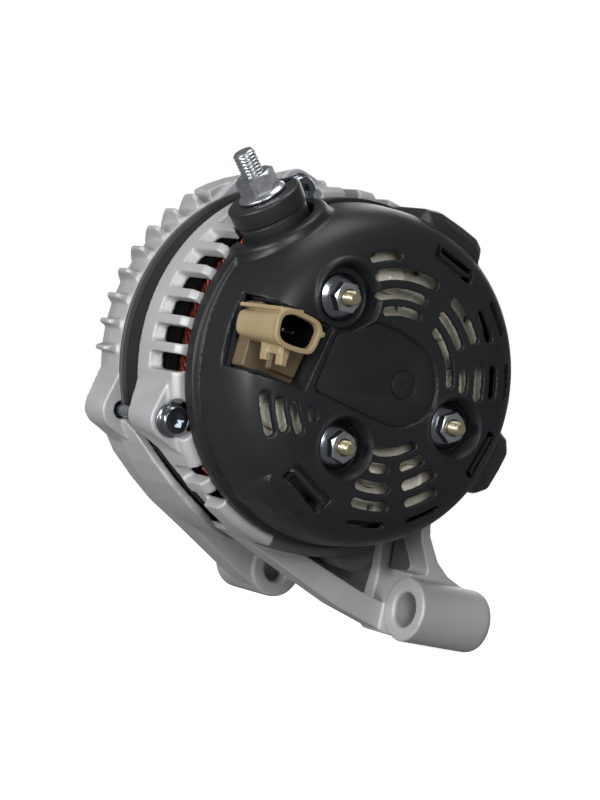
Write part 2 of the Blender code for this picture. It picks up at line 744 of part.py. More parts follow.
def through_bolts():
    for number, angle in enumerate(BOLT_DEG, 1):
        x, z = polar(BOLT_CIRCLE, angle)
        seat = SEATS[number - 1]
        profile = [(5.2, seat - 5.0), (5.5, seat - 4.5), (5.5, seat - GAP), (BOLT_R, seat - GAP),
                   (BOLT_R, 50.5)]
        shape = moved(solid(profile, 12), Matrix.Translation((x, 0, z)))
        bolt = build(f"through_bolt_{number}", shape, "zinc")
        socket = prism(circle(x, z, 2.8, 6), seat - 9.0, seat - 2.6)
        combine(bolt, socket, "DIFFERENCE")


# ---- rotor --------------------------------------------------------------------------


def rotor():
    profile = [
        (5.0, -27.0), (5.0, -6.6), (7.5, -6.6), (7.5, 7.0), (8.5, 7.0), (8.5, 105.0),
        (8.0, 105.0), (8.0, SHAFT_END),
    ]
    build("shaft", solid(profile, 20), "steel")
    for number, y in enumerate(BRUSH_Y, 1):
        bore = 5.0 + GAP
        band = ring([(bore, y - 3.0), (RING_R, y - 3.0), (RING_R, y + 3.0), (bore, y + 3.0)], 18)
        build(f"slip_ring_{number}", band, "brass")
    claws("pole_rear", 17.0, 28.0, 52.0, 0.0)
    claws("pole_front", 53.0, 42.0, 18.0, 180.0 / POLE_PAIRS)
    coil = ring([(27.0, 28.9), (39.0, 28.9), (39.0, 41.1), (27.0, 41.1)], 18)
    build("field_coil", coil, "copper")
    spool = [(8.5 + GAP, 28.3), (41.0, 28.3), (41.0, 28.6), (26.6, 28.6), (26.6, 41.4), (41.0, 41.4),
             (41.0, 41.7), (8.5 + GAP, 41.7)]
    build("coil_core", ring(spool, 18), "steel")
    fan("fan_rear", 16.6, 15.4, 7.0)
    fan("fan_front", 53.4, 54.6, 60.0)


def claws(name, back, web, tip, turn):
    """Claw pole: a disc with tapering fingers that reach toward the other pole."""
    pitch = 360.0 / POLE_PAIRS
    low, high = sorted((back, web))
    hub = ring([(8.5 + GAP, low), (36.0, low), (36.0, high), (8.5 + GAP, high)], 24)
    made = build(name, hub, "core")
    fingers = []
    for i in range(POLE_PAIRS):
        centre = i * pitch + turn
        root, point = pitch * 0.27, pitch * 0.12
        fingers.append(finger(centre, root, point, back, web, tip))
    combine(made, join(*fingers), "UNION")


def finger(centre, root, point, back, web, tip):
    loops = []
    lean = web - math.copysign(1.5, web - back)
    stages = ((back, root, 35.0), (lean, root, 35.0), (web, root, 42.0), (tip, point, 46.5))
    for y, half, r0 in stages:
        loop = [polar(ROTOR_R, centre - half), polar(ROTOR_R, centre), polar(ROTOR_R, centre + half),
                polar(r0, centre + half), polar(r0, centre), polar(r0, centre - half)]
        loops.append([(x, y, z) for x, z in loop])
    points = [p for loop in loops for p in loop]
    faces = []
    for k in range(len(loops) - 1):
        for i in range(6):
            n = (i + 1) % 6
            faces.append((k * 6 + i, k * 6 + n, (k + 1) * 6 + n, (k + 1) * 6 + i))
    faces.append(tuple(range(6)))
    faces.append(tuple(reversed(range(len(points) - 6, len(points)))))
    return points, faces


def fan(name, seat, plate, tip):
    """Pressed fan: a thin disc with curved-over blades standing on it."""
    low, high = sorted((seat, plate))
    made = build(name, ring([(12.0, low), (44.0, low), (44.0, high), (12.0, high)], 20), "steel")
    blades = []
    for i in range(9):
        a = 360.0 / 9 * i
        path = [polar(29.0, a), polar(36.0, a + 6.0), polar(42.5, a + 9.0)]
        back = [polar(42.5, a + 10.8), polar(36.0, a + 7.9), polar(29.0, a + 2.4)]
        y0, y1 = sorted((plate + (seat - plate) * 0.5, tip))
        blades.append(prism(path + back, y0, y1))
    combine(made, join(*blades), "UNION")


def bearings():
    race("rear_bearing", 7.5 + GAP, 17.5, -5.0, 6.0)
    race("front_bearing", 8.5 + GAP, 23.5, FRONT_WALL + GAP, 76.9)
    rear, front = FRONT_WALL - 2.6, FRONT_WALL - GAP
    ring_plate = ring([(20.0, rear), (27.0, rear), (27.0, front), (20.0, front)], 18)
    build("bearing_retainer", ring_plate, "steel")
    collar = ring([(8.5 + GAP, 53.3), (11.4, 53.3), (11.4, FRONT_WALL), (8.5 + GAP, FRONT_WALL)], 18)
    build("spacer", collar, "steel")


def race(name, bore, outer, y0, y1):
    depth = outer - bore
    inner = ring([(bore, y0), (bore + depth * 0.3, y0), (bore + depth * 0.3, y1), (bore, y1)], 18)
    build(f"{name}_inner", inner, "steel")
    shell = [(outer - depth * 0.6, y0), (outer, y0), (outer, y1), (outer - depth * 0.6, y1)]
    build(f"{name}_outer", ring(shell, 18), "steel")


def pulley():
    base = PULLEY_Y
    grooves = [(29.0, base)]
    for i in range(5):
        y = base + 2.4 + 4.27 * i
        grooves += [(28.4, y), (25.6, y + 2.13)]
    grooves += [(28.4, base + 23.75), (29.0, base + 25.9), (24.0, base + 25.9)]
    grooves += [(22.5, base + 23.4), (8.5 + GAP, base + 23.4), (8.5 + GAP, 77.2)]
    grooves += [(11.4, 77.2), (11.4, base)]
    build("pulley", ring(grooves, 24), "steel")
    hexagon = [polar(22.0 / math.sqrt(3) * flat(i), i * 30.0) for i in range(SIDES)]
    nut = tube(hexagon, circle(0, 0, 8.0 + GAP, SIDES), base + 23.7, base + 30.9)
    build("pulley_nut", nut, "zinc")


def main():
    for made in list(bpy.data.objects):
        bpy.data.objects.remove(made, do_unlink=True)
    rear_cover()
    cover_fixings()
    output_terminal()
    regulator()
    connector_pins()
    brushes()
    rectifier()
    rear_housing()
    stator()
    front_housing()
    through_bolts()
    rotor()
    bearings()
    pulley()


main()
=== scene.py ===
"""Car alternator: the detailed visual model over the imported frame.

Shapes below are in millimetres, with the shaft along Y, the pulley toward +Y and stations
counted from the plane of the rear cover's rim; place() turns them into the row frame.
"""

import math

import bmesh
import bpy
import numpy as np
from mathutils import Matrix, Vector


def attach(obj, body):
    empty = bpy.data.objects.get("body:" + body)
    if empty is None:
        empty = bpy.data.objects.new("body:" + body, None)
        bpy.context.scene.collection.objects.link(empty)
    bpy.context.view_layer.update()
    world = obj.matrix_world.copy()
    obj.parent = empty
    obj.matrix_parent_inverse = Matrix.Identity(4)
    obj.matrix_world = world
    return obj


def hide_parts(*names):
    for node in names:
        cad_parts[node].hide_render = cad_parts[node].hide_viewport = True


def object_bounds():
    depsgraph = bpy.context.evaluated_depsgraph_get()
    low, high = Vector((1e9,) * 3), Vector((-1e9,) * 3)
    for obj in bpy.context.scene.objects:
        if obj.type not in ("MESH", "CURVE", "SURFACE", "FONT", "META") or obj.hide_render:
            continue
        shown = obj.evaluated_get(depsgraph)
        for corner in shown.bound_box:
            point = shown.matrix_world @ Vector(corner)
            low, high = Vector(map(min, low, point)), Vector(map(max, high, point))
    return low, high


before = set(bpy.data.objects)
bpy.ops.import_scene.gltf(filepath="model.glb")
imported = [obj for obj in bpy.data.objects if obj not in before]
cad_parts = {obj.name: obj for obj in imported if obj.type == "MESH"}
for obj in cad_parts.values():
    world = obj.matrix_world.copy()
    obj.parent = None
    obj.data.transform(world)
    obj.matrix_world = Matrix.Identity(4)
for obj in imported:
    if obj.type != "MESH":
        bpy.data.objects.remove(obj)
CAD_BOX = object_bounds()

MM = 0.001
MOST_FACES = 190000
COVER_VOXEL = 0.5
CAST_VOXEL = 0.55

SHAFT_END = 117.0
NUTS = ((-25.0, 24.5, 11.5), (-13.6, -26.2, 9.8), (31.0, -10.7, 9.8))  # x, z, pocket radius
BPLUS_DEG, BPLUS_Y = 133.0, -6.0
BOLT_CIRCLE, BOLT_DEG = 67.2, (26.0, 116.0, 206.0, 296.0)
SEATS = (5.5, 5.5, 5.5, 17.6)  # where each through bolt's head bears
TOP_BOLT, SKIRT_BOLT = BOLT_DEG[1], BOLT_DEG[2]
LUG_Y, LUG_Z = 2.0, -79.5
EAR_X, EAR_Z = 24.0, -75.4
REAR_HOLE, FRONT_HOLE = 3.2, 3.3
GATE = (4.9, -0.4)
STATOR_SLOTS = 36
HAIRPINS = 108


# ---- materials -------------------------------------------------------------------


def node(tree, kind, at, **values):
    made = tree.nodes.new(kind)
    made.location = at
    for name, value in values.items():
        if name in made.inputs:
            made.inputs[name].default_value = value
        else:
            setattr(made, name, value)
    return made


def noise(tree, coords, scale, detail=3.0, rough=0.6, stretch=None):
    source = coords.outputs["Object"]
    if stretch:
        mapping = node(tree, "ShaderNodeMapping", (-1100, 0))
        mapping.inputs["Scale"].default_value = stretch
        tree.links.new(source, mapping.inputs["Vector"])
        source = mapping.outputs["Vector"]
    made = node(tree, "ShaderNodeTexNoise", (-900, 0), Scale=scale, Detail=detail, Roughness=rough)
    tree.links.new(source, made.inputs["Vector"])
    return made.outputs["Fac"]


def spread(tree, source, low, high):
    made = node(tree, "ShaderNodeMapRange", (-600, 0))
    made.inputs["From Min"].default_value = 0.3
    made.inputs["From Max"].default_value = 0.7
    made.inputs["To Min"].default_value = low
    made.inputs["To Max"].default_value = high
    tree.links.new(source, made.inputs["Value"])
    return made.outputs["Result"]


def finish_of(name, dark, light, rough, metallic, grain=1800.0, bump=0.12, patch=45.0,
              coat=0.0, specular=0.5, stretch=None):
    """Procedural finish: patches of tone, and fine grain in tone, roughness and relief."""
    made = bpy.data.materials.new(name)
    made.use_nodes = True
    tree = made.node_tree
    shader = tree.nodes["Principled BSDF"]
    coords = node(tree, "ShaderNodeTexCoord", (-1300, 0))
    broad = noise(tree, coords, patch, 4.0, 0.6)
    fine = noise(tree, coords, grain, 2.0, 0.55, stretch)
    tone = node(tree, "ShaderNodeMix", (-300, 300))
    tone.data_type = "RGBA"
    tone.inputs["A"].default_value = (*dark, 1.0)
    tone.inputs["B"].default_value = (*light, 1.0)
    both = node(tree, "ShaderNodeMath", (-500, 300))
    both.operation = "MULTIPLY_ADD"
    both.inputs[1].default_value = 0.55
    tree.links.new(fine, both.inputs[0])
    tree.links.new(spread(tree, broad, 0.0, 0.45), both.inputs[2])
    tree.links.new(both.outputs[0], tone.inputs["Factor"])
    tree.links.new(tone.outputs["Result"], shader.inputs["Base Color"])
    mixed = node(tree, "ShaderNodeMath", (-500, 0))
    mixed.operation = "ADD"
    tree.links.new(spread(tree, broad, rough[0], rough[1]), mixed.inputs[0])
    tree.links.new(spread(tree, fine, -0.04, 0.04), mixed.inputs[1])
    tree.links.new(mixed.outputs[0], shader.inputs["Roughness"])
    relief = node(tree, "ShaderNodeBump", (-300, -300))
    relief.inputs["Strength"].default_value = bump
    relief.inputs["Distance"].default_value = 0.0002
    tree.links.new(fine, relief.inputs["Height"])
    tree.links.new(relief.outputs["Normal"], shader.inputs["Normal"])
    shader.inputs["Metallic"].default_value = metallic
    shader.inputs["Coat Weight"].default_value = coat
    shader.inputs["Specular IOR Level"].default_value = specular
    return made


CAST = finish_of("cast", (0.36, 0.36, 0.372), (0.49, 0.49, 0.50), (0.46, 0.60), 0.3,
                 grain=1500.0, bump=0.35, patch=30.0)
# Painted shade: a darker copy of the cast finish, for cast faces and recesses that lie in shadow.
SHADED_CAST = finish_of("cast_shaded", (0.055, 0.057, 0.06), (0.085, 0.088, 0.092), (0.5, 0.62), 0.3,
                      grain=1500.0, bump=0.3)
COVER = finish_of("cover", (0.0095, 0.0103, 0.0115), (0.0145, 0.0158, 0.0175), (0.38, 0.48), 0.0,
                  grain=2600.0, bump=0.10, patch=25.0, specular=0.32)
BLACK = finish_of("black", (0.009, 0.010, 0.011), (0.015, 0.0165, 0.0185), (0.36, 0.46), 0.0,
                  grain=2600.0, bump=0.12)
TAN = finish_of("tan", (0.26, 0.19, 0.10), (0.36, 0.28, 0.16), (0.38, 0.50), 0.0,
                grain=2200.0, bump=0.10, patch=60.0)
# Painted shade: the tan moulding darkened, for the regulator body lying in shade behind the socket.
SHADED_TAN = finish_of("tan_painted_shade", (0.09, 0.062, 0.032), (0.165, 0.122, 0.070), (0.42, 0.55), 0.0,
                  grain=2200.0, bump=0.15, patch=40.0)
ZINC = finish_of("zinc", (0.44, 0.46, 0.49), (0.62, 0.65, 0.68), (0.27, 0.36), 1.0,
                 grain=1200.0, bump=0.02, patch=150.0)
# Zinc with lower roughness and a darker base colour; the darker base is a painted dark reflection on nut
# flanges and bolt heads.
DARK_REFLECTION_ZINC = finish_of("zinc_painted_dark_reflection", (0.20, 0.22, 0.245), (0.32, 0.345, 0.375), (0.17, 0.26), 1.0,
                      grain=1200.0, bump=0.02, patch=150.0)
YELLOW = finish_of("yellow_zinc", (0.42, 0.38, 0.24), (0.62, 0.57, 0.40), (0.26, 0.38), 0.9,
                   grain=1500.0, bump=0.10, patch=200.0)
STEEL = finish_of("steel", (0.42, 0.43, 0.45), (0.60, 0.61, 0.63), (0.24, 0.38), 1.0,
                  grain=500.0, bump=0.10, stretch=(1.0, 12.0, 1.0))
COPPER = finish_of("copper", (0.20, 0.024, 0.016), (0.55, 0.11, 0.06), (0.18, 0.26), 0.9,
                   grain=900.0, bump=0.05, patch=120.0, coat=0.6)
BRASS = finish_of("slip_ring", (0.60, 0.36, 0.20), (0.78, 0.52, 0.32), (0.22, 0.32), 1.0,
                  grain=500.0, bump=0.08, stretch=(1.0, 14.0, 1.0))
CHARCOAL = finish_of("laminations", (0.012, 0.0135, 0.0145), (0.022, 0.0245, 0.026), (0.62, 0.74), 0.0,
                     grain=420.0, bump=0.25, stretch=(0.4, 9.0, 0.4), specular=0.15)
IRON = finish_of("iron", (0.06, 0.06, 0.063), (0.13, 0.13, 0.135), (0.45, 0.60), 0.7,
                 grain=900.0, bump=0.3)
PLATE = finish_of("plate", (0.56, 0.525, 0.44), (0.73, 0.70, 0.61), (0.42, 0.55), 0.1,
                  grain=1400.0, bump=0.15, patch=70.0)
DIODE = finish_of("diode", (0.74, 0.70, 0.58), (0.90, 0.86, 0.74), (0.30, 0.42), 0.1,
                  grain=1600.0, bump=0.10, patch=120.0)
CARBON = finish_of("carbon", (0.015, 0.015, 0.016), (0.035, 0.035, 0.037), (0.5, 0.65), 0.1,
                   grain=1800.0, bump=0.2)
SHADE = finish_of("unlit_inside", (0.0015, 0.0015, 0.0016), (0.003, 0.003, 0.0031), (0.85, 0.95), 0.0,
                  specular=0.05)
FLOOR = finish_of("floor", (0.80, 0.80, 0.805), (0.82, 0.82, 0.825), (0.75, 0.85), 0.0,
                  grain=60.0, bump=0.0, patch=3.0, specular=0.2)
FLOOR.node_tree.nodes["Principled BSDF"].inputs["Emission Color"].default_value = (1.0, 1.0, 1.0, 1.0)
FLOOR.node_tree.nodes["Principled BSDF"].inputs["Emission Strength"].default_value = 0.86


# ---- shapes ----------------------------------------------------------------------


def polar(radius, degrees):
    a = math.radians(degrees)
    return (radius * math.cos(a), radius * math.sin(a))


def fillet(points, radius, steps=4, closed=True):
    """Round the corners of an outline; a third number in a point sets its own radius."""
    out = []
    count = len(points)
    for i, point in enumerate(points):
        here = Vector(point[:2])
        want = point[2] if len(point) > 2 else radius
        if want == 0 or (not closed and i in (0, count - 1)):
            out.append(tuple(here))
            continue
        back = Vector(points[i - 1][:2]) - here
        ahead = Vector(points[(i + 1) % count][:2]) - here
        turn = math.pi - back.angle(ahead, math.pi)
        if abs(turn) < 0.05:
            out.append(tuple(here))
            continue
        reach = min(want * math.tan(turn / 2), back.length * 0.49, ahead.length * 0.49)
        a = here + back.normalized() * reach
        b = here + ahead.normalized() * reach
        for k in range(steps + 1):
            t = k / steps
            out.append(tuple(a * (1 - t) ** 2 + here * 2 * t * (1 - t) + b * t * t))
    return out


def inset(outline, depth):
    """Move every point of a closed outline toward its inside."""
    count = len(outline)
    area = sum(outline[i - 1][0] * outline[i][1] - outline[i][0] * outline[i - 1][1] for i in range(count))
    side = depth if area > 0 else -depth
    out = []
    for i in range(count):
        run = Vector(outline[(i + 1) % count]) - Vector(outline[i - 1])
        run.normalize()
        out.append((outline[i][0] - run.y * side, outline[i][1] + run.x * side))
    return out


def round_curve(points, steps=5):
    """Smooth closed curve through the points."""
    return curve([*points, points[0]], steps, [points[-1], *points, points[0], points[1]])[:-1]


def lathe(profile, count=120):
    """Turn a closed (radius, station) outline round Y."""
    a = np.linspace(0, 2 * math.pi, count, endpoint=False)
    r = np.array([p[0] for p in profile])
    y = np.array([p[1] for p in profile])
    size = len(profile)
    grid = np.stack((np.outer(np.cos(a), r), np.tile(y, (count, 1)), np.outer(np.sin(a), r)), -1)
    i, k = np.meshgrid(np.arange(count), np.arange(size), indexing="ij")
    j, n = (i + 1) % count, (k + 1) % size
    faces = np.stack((i * size + k, i * size + n, j * size + n, j * size + k), -1)
    return grid.reshape(-1, 3).tolist(), faces.reshape(-1, 4).tolist()


def plug(profile, count=120):
    """Turn an open outline and close both ends with flat discs."""
    points, faces = lathe(profile, count)
    size = len(profile)
    faces = [f for f in faces if not (f[0] % size == size - 1)]
    faces.append([i * size for i in range(count)])
    faces.append([i * size + size - 1 for i in reversed(range(count))])
    return points, faces


def prism(outline, y0, y1):
    size = len(outline)
    points = [(p[0], y0, p[1]) for p in outline] + [(p[0], y1, p[1]) for p in outline]
    faces = [[i, (i + 1) % size, size + (i + 1) % size, size + i] for i in range(size)]
    faces += [list(range(size)), list(range(2 * size - 1, size - 1, -1))]
    return points, faces


def loft(loops):
    """Join closed loops of equal length, with a cap on the first and the last."""
    size = len(loops[0])
    points = [p for loop in loops for p in loop]
    faces = []
    for k in range(len(loops) - 1):
        a, b = k * size, (k + 1) * size
        faces += [[a + i, a + (i + 1) % size, b + (i + 1) % size, b + i] for i in range(size)]
    faces += [list(range(size)), [len(points) - 1 - i for i in range(size)]]
    return points, faces


def circle(x, z, radius, count=48, turn=0.0):
    steps = [2 * math.pi * i / count + math.radians(turn) for i in range(count)]
    return [(x + radius * math.cos(a), z + radius * math.sin(a)) for a in steps]


def block(x0, x1, y0, y1, z0, z1):
    return prism([(x0, z0), (x1, z0), (x1, z1), (x0, z1)], y0, y1)


def join(*shapes):
    points, faces = [], []
    for more, sides in shapes:
        start = len(points)
        points += list(more)
        faces += [[start + i for i in f] for f in sides]
    return points, faces


def moved(shape, matrix):
    return [tuple(matrix @ Vector(p)) for p in shape[0]], shape[1]


def at(shape, x, z, y=0.0):
    return [(p[0] + x, p[1] + y, p[2] + z) for p in shape[0]], shape[1]


def radial(shape, degrees=BPLUS_DEG, station=BPLUS_Y):
    x, z = polar(1.0, degrees)
    outward, forward = Vector((x, 0.0, z)), Vector((0.0, 1.0, 0.0))
    turn = Matrix((outward.cross(forward), outward, forward)).transposed()
    return moved(shape, Matrix.Translation((0.0, station, 0.0)) @ turn.to_4x4())


def crossways(shape, y=LUG_Y, z=LUG_Z):
    return [(p[1], y + p[0], z + p[2]) for p in shape[0]], shape[1]


def arc(radius, start, end, steps):
    return [polar(radius, start + (end - start) * i / steps) for i in range(steps + 1)]


def slot_shape(radius, half, start, end, y0, y1):
    """Slot of constant width with round ends, following a circle."""
    steps = max(2, round(abs(end - start) * radius / 150.0))
    outline = arc(radius + half, start, end, steps)
    for centre, side in ((end, 0), (start, 180)):
        cx, cz = polar(radius, centre)
        for k in range(1, 8):
            a = math.radians(centre + side + k * 180 / 8)
            outline.append((cx + half * math.cos(a), cz + half * math.sin(a)))
        if side == 0:
            outline += arc(radius - half, end, start, steps)
    return prism(outline, y0, y1)


def sector(r0, r1, a0, a1, y0, y1, corner=0.0):
    steps = max(1, round(abs(a1 - a0) / 6.0))
    outline = arc(r1, a0, a1, steps) + arc(r0, a1, a0, steps)
    return prism(fillet(outline, corner) if corner else outline, y0, y1)


def place(name, shape, look, angle=35.0):
    """Make one object in the row frame, in metres."""
    mesh = bpy.data.meshes.new(name)
    points = np.array(shape[0], dtype=float)
    points[:, 1] -= SHAFT_END
    mesh.from_pydata((points * MM).tolist(), [], shape[1])
    work = bmesh.new()
    work.from_mesh(mesh)
    bmesh.ops.recalc_face_normals(work, faces=work.faces)
    work.to_mesh(mesh)
    work.free()
    mesh.materials.append(look)
    made = bpy.data.objects.new(name, mesh)
    bpy.context.collection.objects.link(made)
    shade(made, angle)
    return made


def shade(made, angle):
    made.data.shade_smooth()
    if angle < 180:
        made.data.set_sharp_from_angle(angle=math.radians(angle))


def bake(made, angle=35.0):
    """Apply the object's modifiers to its mesh."""
    bpy.context.view_layer.update()
    graph = bpy.context.evaluated_depsgraph_get()
    result = bpy.data.meshes.new_from_object(made.evaluated_get(graph))
    looks = list(made.data.materials)
    made.modifiers.clear()
    old = made.data
    made.data = result
    result.materials.clear()
    for look in looks:
        result.materials.append(look)
    bpy.data.meshes.remove(old)
    shade(made, angle)


def combine(made, shape, operation):
    """Add a shape to the object or cut it out."""
    tool = place("tool", shape, made.data.materials[0])
    split(tool)
    apply_tool(made, tool, operation)


def apply_tool(made, tool, operation):
    step = made.modifiers.new("step", "BOOLEAN")
    step.operation = operation
    step.solver = "EXACT"
    step.object = tool
    bake(made)
    bpy.data.objects.remove(tool, do_unlink=True)


def split(made):
    """Split every face into triangles, so a cut works on flat faces only."""
    mesh = bmesh.new()
    mesh.from_mesh(made.data)
    bmesh.ops.triangulate(mesh, faces=mesh.faces)
    mesh.to_mesh(made.data)
    mesh.free()


def soften(made, voxel, rounds, faces=MOST_FACES):
    """Turn sharp solids into one smooth casting or moulding with small fillets."""
    step = made.modifiers.new("voxels", "REMESH")
    step.mode = "VOXEL"
    step.voxel_size = voxel * MM
    bake(made, 180.0)
    step = made.modifiers.new("round", "SMOOTH")
    step.factor = 0.5
    step.iterations = rounds
    bake(made, 180.0)
    count = len(made.data.polygons) * 2
    if count > faces:
        step = made.modifiers.new("fewer", "DECIMATE")
        step.ratio = faces / count
        bake(made, 180.0)


def add_bevel(made, width):
    step = made.modifiers.new("edges", "BEVEL")
    step.width = width * MM
    step.segments = 2
    step.limit_method = "ANGLE"
    step.angle_limit = math.radians(40.0)


def bevel(made, width):
    add_bevel(made, width)
    bake(made, 50.0)


def put(made, body, *nodes):
    """Tie a piece to its body, and hide the nodes that it replaces."""
    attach(made, body)
    if nodes:
        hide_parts(*nodes)


# ---- rear cover ------------------------------------------------------------------

COVER_SLOTS = (
    (24.8, 1.6, ((80, 111), (9, 56), (268, 305))),
    (30.8, 1.8, ((80, 113), (36, 60), (6, 17), (269, 278), (294, 307))),
    (37.7, 2.0, ((77, 113), (35, 59), (3, 18), (263, 280), (294, 311))),
    (44.2, 1.7, ((102, 115), (32, 44), (5, 17), (264, 280), (294, 308))),
    (51.0, 1.2, ((31, 44), (5, 17), (266, 281), (294, 308))),
)
LEFT_SLOTS = ((51.4, 197, 211), (46.6, 200, 211), (41.4, 203, 215), (34.9, 208, 212))
PAD = (
    (-18.5, 14.8), (-12.2, 19.0), (-2.0, 18.2), (10.5, 14.3), (15.5, 10.5), (18.6, 5.0),
    (20.0, 0.0), (19.8, -6.0), (15.4, -11.4), (10.0, -14.5), (5.0, -15.8), (1.0, -15.6),
    (-32.0, -9.6), (-27.5, 12.0),
)
WINDOW = ((-70.0, 20.2), (-29.5, 13.2), (-35.5, -10.5), (-70.0, -6.2))
CLIPS = ((70.5, 48.3, 9.3, 2.6), (338.5, 48.8, 9.0, 2.2), (240.0, 49.2, 9.8, 3.2))
DOME = (
    (0.0, -36.0), (42.0, -36.0), (48.0, -35.3), (53.0, -33.2), (56.6, -30.0), (59.0, -25.6),
    (60.4, -20.0), (61.3, -13.0), (61.9, -7.8), (60.7, -7.2), (60.7, -5.8), (63.1, -5.3),
    (63.5, -4.6), (63.5, 0.0),
)


def curve(points, steps=4, ends=None):
    """Smooth open curve through the points."""
    ends = ends or [points[0], *points, points[-1]]
    out = []
    for i in range(1, len(ends) - 2):
        a, b, c, d = (Vector(p) for p in ends[i - 1:i + 3])
        for k in range(steps):
            t = k / steps
            out.append(tuple(0.5 * (2 * b + (c - a) * t + (2 * a - 5 * b + 4 * c - d) * t * t
                                    + (3 * b - a - 3 * c + d) * t ** 3)))
    return out + [tuple(points[-1])]


def dome(shrink, face, rim):
    """Outline of the cover's outside or inside, from its middle to past the rim."""
    outline = [(r - shrink, y + shrink * (1.0 if y < -30.0 else 0.35)) for r, y in DOME[1:9]]
    outline[0] = (outline[0][0], face)
    return curve(outline) + rim


def turned_box(degrees, radius, half_long, half_wide, y0, y1):
    x, z = polar(1.0, degrees)
    corners = []
    for along, out in ((-1, -1), (1, -1), (1, 1), (-1, 1)):
        reach, slide = radius + out * half_wide, along * half_long
        corners.append((x * reach - z * slide, z * reach + x * slide))
    return prism(corners, y0, y1)


def bump(outline, stages):
    """Swelling of the cover's side: one outline in (radius, angle), grown stage by stage."""
    loops = []
    for y, share in stages:
        first, last = outline[0][1], outline[-1][1]
        middle = (first + last) / 2
        flat = [polar(52.0, middle + (first - middle) * (0.8 + 0.2 * share))]
        for r, a in outline:
            flat.append(polar(57.0 + (r - 57.0) * share, middle + (a - middle) * (0.86 + 0.14 * share)))
        flat.append(polar(52.0, middle + (last - middle) * (0.8 + 0.2 * share)))
        loops.append([(x, y, z) for x, z in fillet(flat, 2.5, 4)])
    return loft(loops)


UPPER_BUMP = (
    (61.0, 85.0), (64.4, 82.5), (66.0, 76.5), (66.4, 67.5), (67.3, 61.0), (66.0, 57.0), (60.5, 55.5),
)
LOWER_BUMP = (
    (61.0, 353.6), (66.5, 351.5), (69.4, 347.5), (69.0, 341.5), (68.8, 334.5), (65.5, 330.8),
    (60.5, 328.5),
)
LEFT_BUMP = ((59.5, 246.0), (61.5, 243.0), (62.4, 236.0), (61.6, 229.0), (59.5, 226.0))
RISING = ((-29.0, 0.1), (-26.0, 0.55), (-23.0, 0.9), (-20.0, 1.0), (-1.0, 1.04))


def cover():
    rim = list(DOME[8:])
    made = place("cover_shell", plug(dome(0.0, -36.0, rim[1:]), 180), COVER)
    combine(made, join(bump(UPPER_BUMP, RISING), bump(LOWER_BUMP, RISING)), "UNION")
    combine(made, bump(LEFT_BUMP, ((-31.0, 0.3), (-24.0, 0.8), (-12.0, 1.0), (-1.0, 1.0))), "UNION")
    collar = fillet([(19.2, 40.0, 0), (19.2, 62.6, 2.6), (14.0, 62.8, 0)], 1.0, 6, closed=False)
    combine(made, radial(plug(collar, 72)), "UNION")
    foot = [(23.5, 54.0), (20.8, 57.2), (19.2, 60.4), (14.0, 60.4)]
    combine(made, radial(plug([(23.5, 40.0)] + foot, 72)), "UNION")
    lips = [at(plug([(r + 3.2, -34.0), (r + 2.6, -36.25), (r + 1.0, -36.7), (r - 3, -36.7)], 48), x, z)
            for x, z, r in NUTS]
    for lip in lips:
        combine(made, lip, "UNION")
    hollow = place("hollow", plug(dome(2.0, -34.0, [(60.6, -6.0), (61.0, 3.0)]), 120), COVER)
    for x, z, r in NUTS:
        combine(hollow, prism(circle(x, z, r + 1.7), -60.0, -27.0), "DIFFERENCE")
    port = radial(plug([(18.0, 60.2), (18.0, 75.0)], 60))
    combine(hollow, port, "DIFFERENCE")
    apply_tool(made, hollow, "DIFFERENCE")
    for x, z, r in NUTS:
        cone = [(r + 1.5, -60.0), (r + 1.5, -36.6), (r + 0.2, -34.8), (r - 0.5, -32.0), (r - 0.5, -29.0)]
        combine(made, at(plug(cone, 60), x, z), "DIFFERENCE")
        combine(made, prism(circle(x, z, 3.5, 24), -34.0, -20.0), "DIFFERENCE")
    combine(made, radial(plug([(14.6, 46.0), (14.6, 80.0)], 60)), "DIFFERENCE")
    slots = []
    for radius, half, spans in COVER_SLOTS:
        slots += [slot_shape(radius, half, a, b, -50.0, -24.0) for a, b in spans]
    slots += [slot_shape(r, 1.8, a, b, -50.0, -20.0) for r, a, b in LEFT_SLOTS]
    slots += [turned_box(a, r, h, w, -50.0, -22.0) for a, r, h, w in CLIPS]
    combine(made, join(*slots), "DIFFERENCE")
    combine(made, prism(WINDOW, -60.0, -19.0), "DIFFERENCE")
    combine(made, prism(fillet(PAD, 2.5), -40.0, -34.9), "DIFFERENCE")
    combine(made, block(-90, 90, 0.0, 60.0, -90, 90), "DIFFERENCE")
    soften(made, COVER_VOXEL, 2)
    put(made, "frame", "rear_cover")
    pad = place("cover_pad", prism(inset(fillet(PAD, 2.5), 0.75), -35.35, -34.4), COVER)
    gate = lathe([(4.6, -36.0), (5.3, -36.0), (5.3, -34.9), (4.6, -34.9)], 48)
    dot = prism(circle(*GATE, 0.7, 12), -36.0, -34.7)
    combine(pad, join(at(gate, *GATE), dot), "DIFFERENCE")
    bevel(pad, 0.15)
    put(pad, "frame")
    put(place("cover_clips", join(*[clip(*c) for c in CLIPS]), COVER), "frame")
    put(place("window_frame", window_frame(), COVER), "frame")


def clip(degrees, radius, half_long, half_wide):
    """Thin hooked tongue standing in a rectangular opening of the cover."""
    turn = Matrix.Rotation(math.radians(-degrees), 4, "Y")
    line = [(radius + half_wide - 0.5, -half_long + 1.0), (radius - 0.2, -half_long + 1.6),
            (radius - 0.2, half_long - 1.6), (radius + half_wide - 0.5, half_long - 0.9)]
    line = fillet(line, 1.2, 4, closed=False)
    half = 0.5
    outline = [(x - half, z) for x, z in line] + [(x + half, z) for x, z in reversed(line)]
    return moved(prism(outline, -34.9, -24.0), turn)


